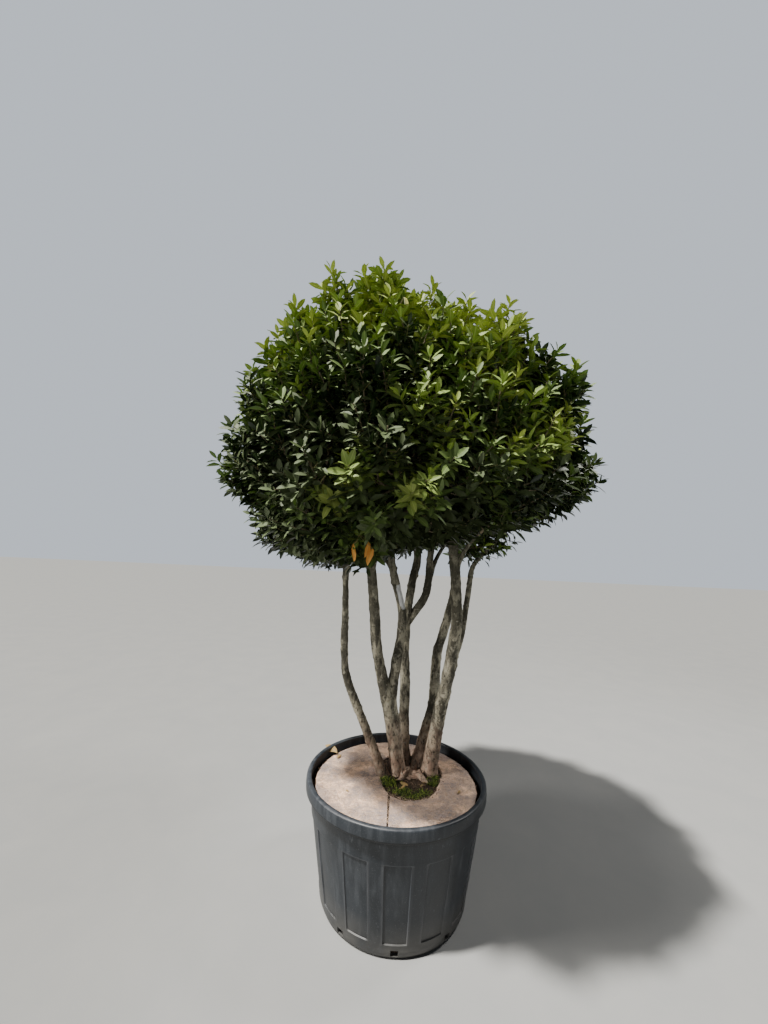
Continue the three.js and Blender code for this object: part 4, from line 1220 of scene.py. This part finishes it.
def make_leaves(sprigs, draw):
    """Sprays on every shoot, in pieces of one colour, with plainer leaves deep in the crown."""
    fine, coarse = (collected(f"sprays_{word}", [make_spray(f"spray_{word}_{i}", count, outline, draw)
                                                 for i, count in enumerate(SPRAY_LEAVES)])
                    for word, outline in (("fine", FINE_LEAF), ("coarse", COARSE_LEAF)))
    tips = np.vstack([sprig["tips"] for sprig in sprigs])
    ways = np.vstack([sprig["ways"] for sprig in sprigs])
    deep = np.concatenate([np.full(len(sprig["tips"]), sprig["depth"] > COARSE_DEPTH) for sprig in sprigs])
    kinds = np.digitize(np.concatenate([leaf_scores(sprig, draw) for sprig in sprigs]), LEAF_STEPS)
    for kind, (name, look) in enumerate(LEAF_COLOURS.items()):
        material = leaf_surface(name, *look)
        for word, sprays, some in (("", fine, ~deep), ("_inner", coarse, deep)):
            members = np.flatnonzero((kinds == kind) & some)
            if not len(members):
                continue
            members = members[np.argsort(tips[members, 0])]
            shares = np.array_split(members, math.ceil(len(members) / MOST_SPRAYS))
            for number, share in enumerate(shares):
                scatter(f"{name}{word}_{number + 1}", tips[share], ways[share], draw, sprays, 1.0,
                        material, "leaf")


def make_turning_leaves(sprigs, draw):
    """Single yellow, orange and red leaves, which hang on stalks from the nearest shoots."""
    tips = np.vstack([sprig["tips"] for sprig in sprigs])
    stalks = []
    for name, colour, other, rib, spots in TURNING_LEAVES:
        pile = ([], [], [])
        for spot in np.array(spots):
            shoot = tips[np.argmin(np.linalg.norm(tips - spot, axis=1))]
            out = unit((spot - CROWN_MIDDLE) * (1, 1, 0) + draw.normal(0, 0.25, 3))
            along = unit(out * draw.uniform(0.2, 0.8) - UP)
            side = unit(np.cross(UP, out) + out * draw.uniform(-0.9, 0.9))
            root = spot - along * LEAF_LENGTH * 0.4
            shape = (LEAF_LENGTH * draw.uniform(0.95, 1.20), LEAF_WIDTH, 0.55, 0.35, 0.25)
            add_leaf(pile, shape, root, along, side)
            stalks.append((np.array([shoot, shoot * 0.5 + root * 0.5 + out * 0.01, root]), STALK_RADII))
        settle(leaf_piece(name, pile, leaf_surface(name, colour, other, rib, 0.42)), "leaf")
    material = plain_growth("stalks", (0.30, 0.26, 0.10), (0.2, 0.14, 0.07), 0.6)
    make_tubes("leaf_stalks", stalks, 3, material, "leaf")


def make_foliage(limbs, entries):
    draw = np.random.default_rng(SEED)
    sprigs = make_branchlets(limbs, draw)
    middles = np.array(list(MIDDLES.values()))
    tips = np.array([sprig["tip"] for sprig in sprigs])
    owner = np.argmin(np.linalg.norm(tips[:, None] - middles[None], axis=2), axis=1)
    growth = {"branches": [], "twigs": [], "shoot_stems": []}
    for i, (name, middle) in enumerate(MIDDLES.items()):
        mine = [sprigs[k] for k in np.flatnonzero(owner == i)]
        if mine:
            grow_mass(middle, entries[name], mine, draw, growth)
    make_twigs(growth)
    make_leaves(sprigs, draw)
    make_turning_leaves(sprigs, draw)


# Pot, soil and felt

def wall_radius(z):
    low, high = FOOT_ROUND, POT_HEIGHT - LIP_HEIGHT
    return BASE_RADIUS + (RIM_RADIUS - LIP_OVERHANG - BASE_RADIUS) * (z - low) / (high - low)


def arc(centre, radius, start, end, count):
    """Points on a circle's arc in the profile, with its angles in degrees."""
    return [tuple(middle + part for middle, part in zip(centre, polar(radius, math.radians(angle))))
            for angle in np.linspace(start, end, count)]


def pot_profile():
    """Radius and height, up the outside from the foot, over the lip and down inside."""
    under = POT_HEIGHT - LIP_HEIGHT
    heights = set(np.linspace(FOOT_ROUND, under - 0.004, 34).tolist())
    for z in (PANEL_BOTTOM, PANEL_TOP):
        heights |= {z - EDGE, z + EDGE}
    foot = [(FOOT_RADIUS + (BASE_RADIUS - FOOT_RADIUS) * math.sin(t), FOOT_ROUND * (1 - math.cos(t)))
            for t in np.linspace(0, math.pi / 2, 12)[:-1]]
    foot += [(BASE_RADIUS - 0.0055, DRAIN_LOW), (BASE_RADIUS - 0.0004, DRAIN_LOW + DRAIN_HEIGHT)]
    foot.sort(key=lambda corner: corner[1])
    body = wall_radius(under)
    corner = RIM_RADIUS - LIP_CORNER
    lip = [(body, under - 0.001), (body + 0.004, under - 0.003), (corner, under - 0.004)]
    lip += arc((corner, under + 0.001), LIP_CORNER, -90, 0, 5)
    lip += [(RIM_RADIUS + 0.0012, under + 0.018), (RIM_RADIUS, POT_HEIGHT - LIP_ROUND)]
    lip += arc((RIM_RADIUS - LIP_ROUND, POT_HEIGHT - LIP_ROUND), LIP_ROUND, 0, 90, 7)[1:]
    lip += arc((RIM_RADIUS - LIP_WIDTH + 0.005, POT_HEIGHT - 0.0065), 0.006, 90, 180, 5)
    wall = [(wall_radius(z) - WALL, z) for z in (0.522, 0.50, 0.47, 0.30, 0.10)]
    rising = [(wall_radius(z), z) for z in sorted(heights) if z > FOOT_ROUND]
    return [(FOOT_RADIUS * 0.6, 0), *foot, *rising, *lip, *wall, (FOOT_RADIUS - WALL, FLOOR)]


def pot_angles():
    """Angles round the pot, with a pair at the sloping edge of each panel and drain."""
    angles = []
    half = PANEL_ANGLE / 2
    pitch = TURN / PANEL_COUNT
    for i in range(PANEL_COUNT):
        middle = FRONT + i * pitch
        angles += list(middle + np.linspace(-half, half, 11)[1:-1])
        angles += list(middle + pitch / 2 + np.linspace(-0.055, 0.055, 5))
    for count, half in ((PANEL_COUNT, half), (DRAIN_COUNT, DRAIN_WIDTH / 2 / BASE_RADIUS)):
        angles += [FRONT + i * TURN / count + side * half + shift for i in range(count)
                   for side in (-1, 1) for shift in (-EDGE_TURN, EDGE_TURN)]
    turned = sorted({round(angle % TURN, 5) for angle in angles})
    apart = [turned[0]]
    for angle in turned[1:]:
        if angle - apart[-1] > 0.003:
            apart.append(angle)
    return apart


def off_middle(angle, count):
    """How far an angle is from the middle of the nearest of a number of panels or drains."""
    return abs(math.remainder(angle - FRONT, TURN / count))


def recess(angle, z):
    """How deep the wall is pressed in at a place."""
    if (off_middle(angle, DRAIN_COUNT) * BASE_RADIUS < DRAIN_WIDTH / 2
            and DRAIN_LOW + EDGE < z < DRAIN_LOW + DRAIN_HEIGHT):
        return DRAIN_DEPTH
    pressed = off_middle(angle, PANEL_COUNT) < PANEL_ANGLE / 2 and PANEL_BOTTOM < z < PANEL_TOP
    return PANEL_DEPTH if pressed else 0.0


def edge_wear(place):
    """1 on the rubbed edge beside and above each panel, less on the lip, and 0 elsewhere."""
    out = math.hypot(place.x, place.y)
    if out < wall_radius(place.z) - 0.6 * WALL and place.z < POT_HEIGHT - 0.004:
        return 0.0
    off = off_middle(math.atan2(place.y, place.x), PANEL_COUNT) - PANEL_ANGLE / 2
    beside = abs(off - EDGE_TURN) < 0.002 and PANEL_BOTTOM - 2 * EDGE < place.z < PANEL_TOP + 2 * EDGE
    above = off < 0 and abs(place.z - PANEL_TOP - EDGE) < 0.001
    lip = 0.45 if place.z > POT_HEIGHT - 0.0035 and out > RIM_RADIUS - LIP_ROUND * 1.4 else 0.0
    return clamped((0.55 + 0.9 * wander(place, 9.0, 4.0)) * (1.0 if beside or above else lip))


def pot_point(radius, z, angle):
    """A point of the pot, slightly out of true as such thin walls are."""
    if radius >= FOOT_RADIUS:
        outside = radius > wall_radius(z) - 0.5 * WALL and z < POT_HEIGHT - LIP_HEIGHT - 0.004
        way = polar(1, angle, 1.6 * z)
        sway = 0.0024 * wander(way, 1.1, 2.0) * min(1.0, z / 0.2) + 0.0007 * wander(way, 4.0, 6.0)
        radius += sway - 0.0012 * (z > 0.4) - (recess(angle, z) if outside else 0.0)
    return polar(radius, angle, z)


def make_pot():
    profile, angles = pot_profile(), pot_angles()
    columns = len(angles)
    points = [pot_point(radius, z, angle) for radius, z in profile for angle in angles]
    middle = len(points)
    points += [(0, 0, 0), (0, 0, FLOOR)]
    faces = grid_faces(len(profile), columns, True)
    faces += flipped(fan(middle, 0, columns)) + fan(middle + 1, middle - columns, columns)
    wear = [edge_wear(Vector(point)) for point in points]
    piece = new_piece("pot_shell", points, faces, pot_plastic(), values=[("edge_wear", "FLOAT", wear)])
    smooth(piece, 42)
    settle(piece, "pot", "pot")


def hole_point(out, angle):
    """A point in the felt's hole, before its edge is made uneven. Out is 1 at the edge."""
    return [middle + half * part for middle, half, part in zip(FELT_HOLE, HOLE_HALVES, polar(out, angle))]


def in_hole(x, y):
    """1 in the middle of the felt's hole, and 0 at its edge and outside."""
    off = math.hypot((x - FELT_HOLE[0]) / HOLE_HALVES[0], (y - FELT_HOLE[1]) / HOLE_HALVES[1])
    return clamped((1.0 - off) / 0.35)


def felt_height(x, y):
    """Height of the disc's upper side, which lies in low waves."""
    waves = 0.0035 * wander((x, y, 0), 5.5, 4.0) + 0.0016 * wander((x, y, 0), 17, 1.0)
    tufts = 0.0012 * wander((x, y, 0), 90, 2.0) + 0.0010 * wander((x, y, 0), 210, 3.0)
    curl = sum(rise * math.exp(-(math.hypot(x - place[0], y - place[1]) / width) ** 2)
               for place, width, rise in CURLS)
    return SOIL_TOP + FELT_THICKNESS + waves + tufts + curl


def soil_height(x, y):
    """Height of the soil, which is crumbly and a little mounded where the hole shows it."""
    crumbs = 0.004 * wander((x, y, 0), 60) + 0.003 * wander((x, y, 0), 140, 1.0)
    mound = 0.006 + 0.005 * wander((x, y, 0), 14, 3.0)
    shown = in_hole(x, y)
    return SOIL_TOP - 0.0035 + shown * mound + crumbs * (0.25 + 0.75 * shown)


def make_felt():
    """The cut disc: from one side of its slit round to the other, and from its hole to its edge."""
    columns, rows = 420, 64
    size = rows * columns
    upper, lower = [], []
    for i in range(size):
        out, part = i // columns / (rows - 1), i % columns / (columns - 1)
        inner, outer = (middle + half + part * (TURN - 2 * half) for middle, half in (SLIT_INNER, SLIT_OUTER))
        rim = FELT_RADIUS * (1 + 0.006 * math.sin(31 * outer) * math.sin(7 * outer)) - 0.002
        waves = 1 + sum(depth * math.sin(count * inner + phase) for count, depth, phase in HOLE_WAVES)
        x, y = (start + (end - start) * out
                for start, end in zip(hole_point(waves, inner), polar(rim, outer)))
        rounding = 0.003 * (math.exp(-out * 40) + math.exp(-(1 - out) * 50))
        top = felt_height(x, y) - rounding
        upper.append((x, y, top))
        lower.append((x, y, min(top - 0.003, SOIL_TOP + 0.0006)))
    around = [*range(columns), *range(2 * columns - 1, size, columns),
              *range(size - 2, size - columns - 1, -1), *range(size - 2 * columns, 0, -columns)]
    faces = grid_faces(rows, columns, False) + flipped(grid_faces(rows, columns, False, size))
    faces += [(beside, corner, size + corner, size + beside)
              for corner, beside in zip(around, around[1:] + around[:1])]
    piece = new_piece("felt_mat", upper + lower, faces, coir_felt())
    smooth(piece, 60)
    settle(piece, "felt", "felt_disc")


def make_soil():
    """Soil that fills the pot."""
    columns, rows = 240, 90
    angles = [TURN * column / columns for column in range(columns)]
    places = [polar(SOIL_RADIUS * (row + 1) / rows, angle) for row in range(rows) for angle in angles]
    points = [(x, y, soil_height(x, y)) for x, y in places]
    foot = len(points)
    points += [polar(SOIL_FOOT_RADIUS, angle, FLOOR + 0.001) for angle in angles]
    faces = flipped(grid_faces(rows + 1, columns, True)) + fan(len(points), 0, columns)
    faces.append(tuple(reversed(range(foot, foot + columns))))
    points.append((0, 0, soil_height(0, 0)))
    piece = new_piece("soil_fill", points, faces, moist_soil())
    smooth(piece, 60)
    settle(piece, "soil", "soil")


def make_fibres(draw):
    """Loose coir fibres on the disc."""
    fibres = []
    while len(fibres) < FIBRES:
        x, y = polar(FELT_RADIUS * 0.95 * math.sqrt(draw.random()), draw.uniform(0, TURN))
        heading, bend = draw.uniform(0, TURN), draw.normal(0, 1.1)
        stride = draw.uniform(*FIBRE_LENGTH) / 4
        if in_hole(x, y) > 0:
            continue
        points = []
        for step in range(5):
            points.append((x, y, felt_height(x, y) + 0.0007 + 0.0010 * math.sin(1.4 * step)))
            x += stride * math.cos(heading)
            y += stride * math.sin(heading)
            heading += bend / 4
        fibres.append((np.array(points), FIBRE_RADII))
    pale = plain_growth("coir_fibre", (0.66, 0.49, 0.35), (0.40, 0.28, 0.20), 0.9)
    make_tubes("felt_fibres", fibres, 3, pale, "felt")


def make_moss(draw):
    """Low moss and small blades at the front of the hole."""
    dark, fresh = [], []
    for place, spread, count, tall in MOSS:
        for _ in range(count):
            x, y = np.array(place) + draw.normal(0, spread, 2) * (1, 0.6)
            if in_hole(x, y) <= 0:
                continue
            start = np.array([x, y, soil_height(x, y) - 0.002])
            lean = np.array([*draw.normal(0, 0.45, 2), 1.0])
            size = tall * draw.uniform(0.5, 1.3)
            middle = start + unit(lean) * size * 0.55
            end = middle + unit(lean * (1.9, 1.9, 0.7)) * size * 0.5
            blades = fresh if draw.random() < FRESH_MOSS else dark
            blades.append((np.array([start, middle, end]), MOSS_RADII))
    make_tubes("moss_low", dark, 3,
               plain_growth("moss_dark", (0.034, 0.058, 0.010), (0.018, 0.034, 0.008), 0.7), "leaf")
    make_tubes("moss_high", fresh, 3,
               plain_growth("moss_fresh", (0.330, 0.420, 0.060), (0.160, 0.230, 0.030), 0.65), "leaf")


def make_crumb(name, draw):
    """A crumb of soil or bark, with a few faces."""
    size = draw.uniform(0.6, 1.0, 3)
    corners = ((1, 0, 0), (0, 1, 0), (-1, 0, 0), (0, -1, 0), (0, 0, 0.8), (0, 0, -0.8))
    points = [np.array(corner) * size + draw.normal(0, 0.13, 3) for corner in corners]
    return new_piece(name, points, fan(4, 0, 4) + flipped(fan(5, 0, 4)))


def make_crumbs(draw):
    """Crumbs in the hole, and a few that have spilled on the disc."""
    shapes = collected("crumbs", [make_crumb(f"crumb_{i}", draw) for i in range(CRUMB_SHAPES)])
    for name, count, size, colour, other in CRUMBS:
        places = []
        while len(places) < count:
            angle, out = draw.uniform(0, TURN), 1.08 * math.sqrt(draw.random())
            x, y = hole_point(out, angle)
            spilled = in_hole(x, y) <= 0.02
            if spilled and draw.random() > 0.25:
                continue
            places.append((x, y, (felt_height(x, y) if spilled else soil_height(x, y)) + 0.0012))
        ways = unit(draw.normal(0, 1, (count, 3)))
        scatter(name, places, ways, draw, shapes, size, plain_growth(name, colour, other, 0.9), "soil")


def make_litter(draw):
    """Dry leaves: one caught on the rim at the back left, others in the hole and on the disc."""
    pile = ([], [], [])
    for (x, y, rise), heading, tilt, length in LITTER:
        along = np.array(polar(math.cos(tilt), heading, math.sin(tilt)))
        side = unit(np.cross(UP, along) + UP * draw.uniform(-0.3, 0.3))
        ground = soil_height(x, y) if in_hole(x, y) > 0.02 else felt_height(x, y)
        shape = (length, DRY_LEAF_WIDTH, draw.uniform(-0.5, 0.6), draw.uniform(-0.3, 0.4), 0.5)
        add_leaf(pile, shape, np.array([x, y, ground + rise]), along, side)
    material = leaf_surface("dry_leaf", (0.42, 0.19, 0.070), (0.17, 0.085, 0.042), (0.46, 0.27, 0.13), 0.7)
    settle(leaf_piece("dry_leaves", pile, material), "leaf")


# Stage, camera and light

def make_stage():
    """A plain pale floor that runs to the horizon."""
    corners = [(x * FLOOR_REACH, y * FLOOR_REACH, 0) for x, y in ((-1, -1), (1, -1), (1, 1), (-1, 1))]
    look = Finish("floor", 0.85, 0.2)
    shade = look.patches(3.0, 0.5, 0.4)
    look.feed(Base_Color=look.mix(shade, (0.22, 0.225, 0.225), (0.243, 0.245, 0.241)))
    new_piece("floor", corners, [(0, 1, 2, 3)], look.material)


def make_camera():
    camera = new_object("camera", bpy.data.cameras.new("camera"))
    turn = Matrix.Rotation(CAMERA_PITCH + math.pi / 2, 4, "X") @ Matrix.Rotation(CAMERA_ROLL, 4, "Z")
    camera.matrix_world = Matrix.Translation(CAMERA_PLACE) @ turn
    camera.data.sensor_width = SENSOR
    camera.data.lens = FOCAL_PIXELS * SENSOR / PHOTO_HEIGHT
    camera.data.clip_end = SIGHT_LIMIT
    bpy.context.scene.camera = camera


def make_lights():
    for name, kind, place, aim, power, colour, settings in LIGHTS:
        lamp = bpy.data.lights.new(name, kind)
        for key, value in settings.items():
            setattr(lamp, key, value)
        lamp.energy = power
        lamp.color = colour
        light = new_object(name, lamp)
        light.location = place
        light.rotation_euler = (Vector(place) - Vector(aim)).to_track_quat("Z", "Y").to_euler()
    world = bpy.data.worlds.new("studio")
    world.use_nodes = True
    tree = world.node_tree
    background = tree.nodes["Background"]
    background.inputs["Color"].default_value = (*SKY_COLOUR, 1)
    seen = add(tree, "ShaderNodeLightPath").outputs["Is Camera Ray"]
    strength = add(tree, "ShaderNodeMapRange", {
        "Value": seen, "To Min": SKY_STRENGTH, "To Max": BACKDROP_STRENGTH}).outputs["Result"]
    tree.links.new(strength, background.inputs["Strength"])
    bpy.context.scene.world = world


make_camera()
make_lights()
make_stage()
make_pot()
make_soil()
make_felt()
draw = np.random.default_rng(SEED + 1)
make_fibres(draw)
make_moss(draw)
make_crumbs(draw)
make_litter(draw)
limbs, entries = make_limbs()
make_woody(limbs)
make_foliage(limbs, entries)
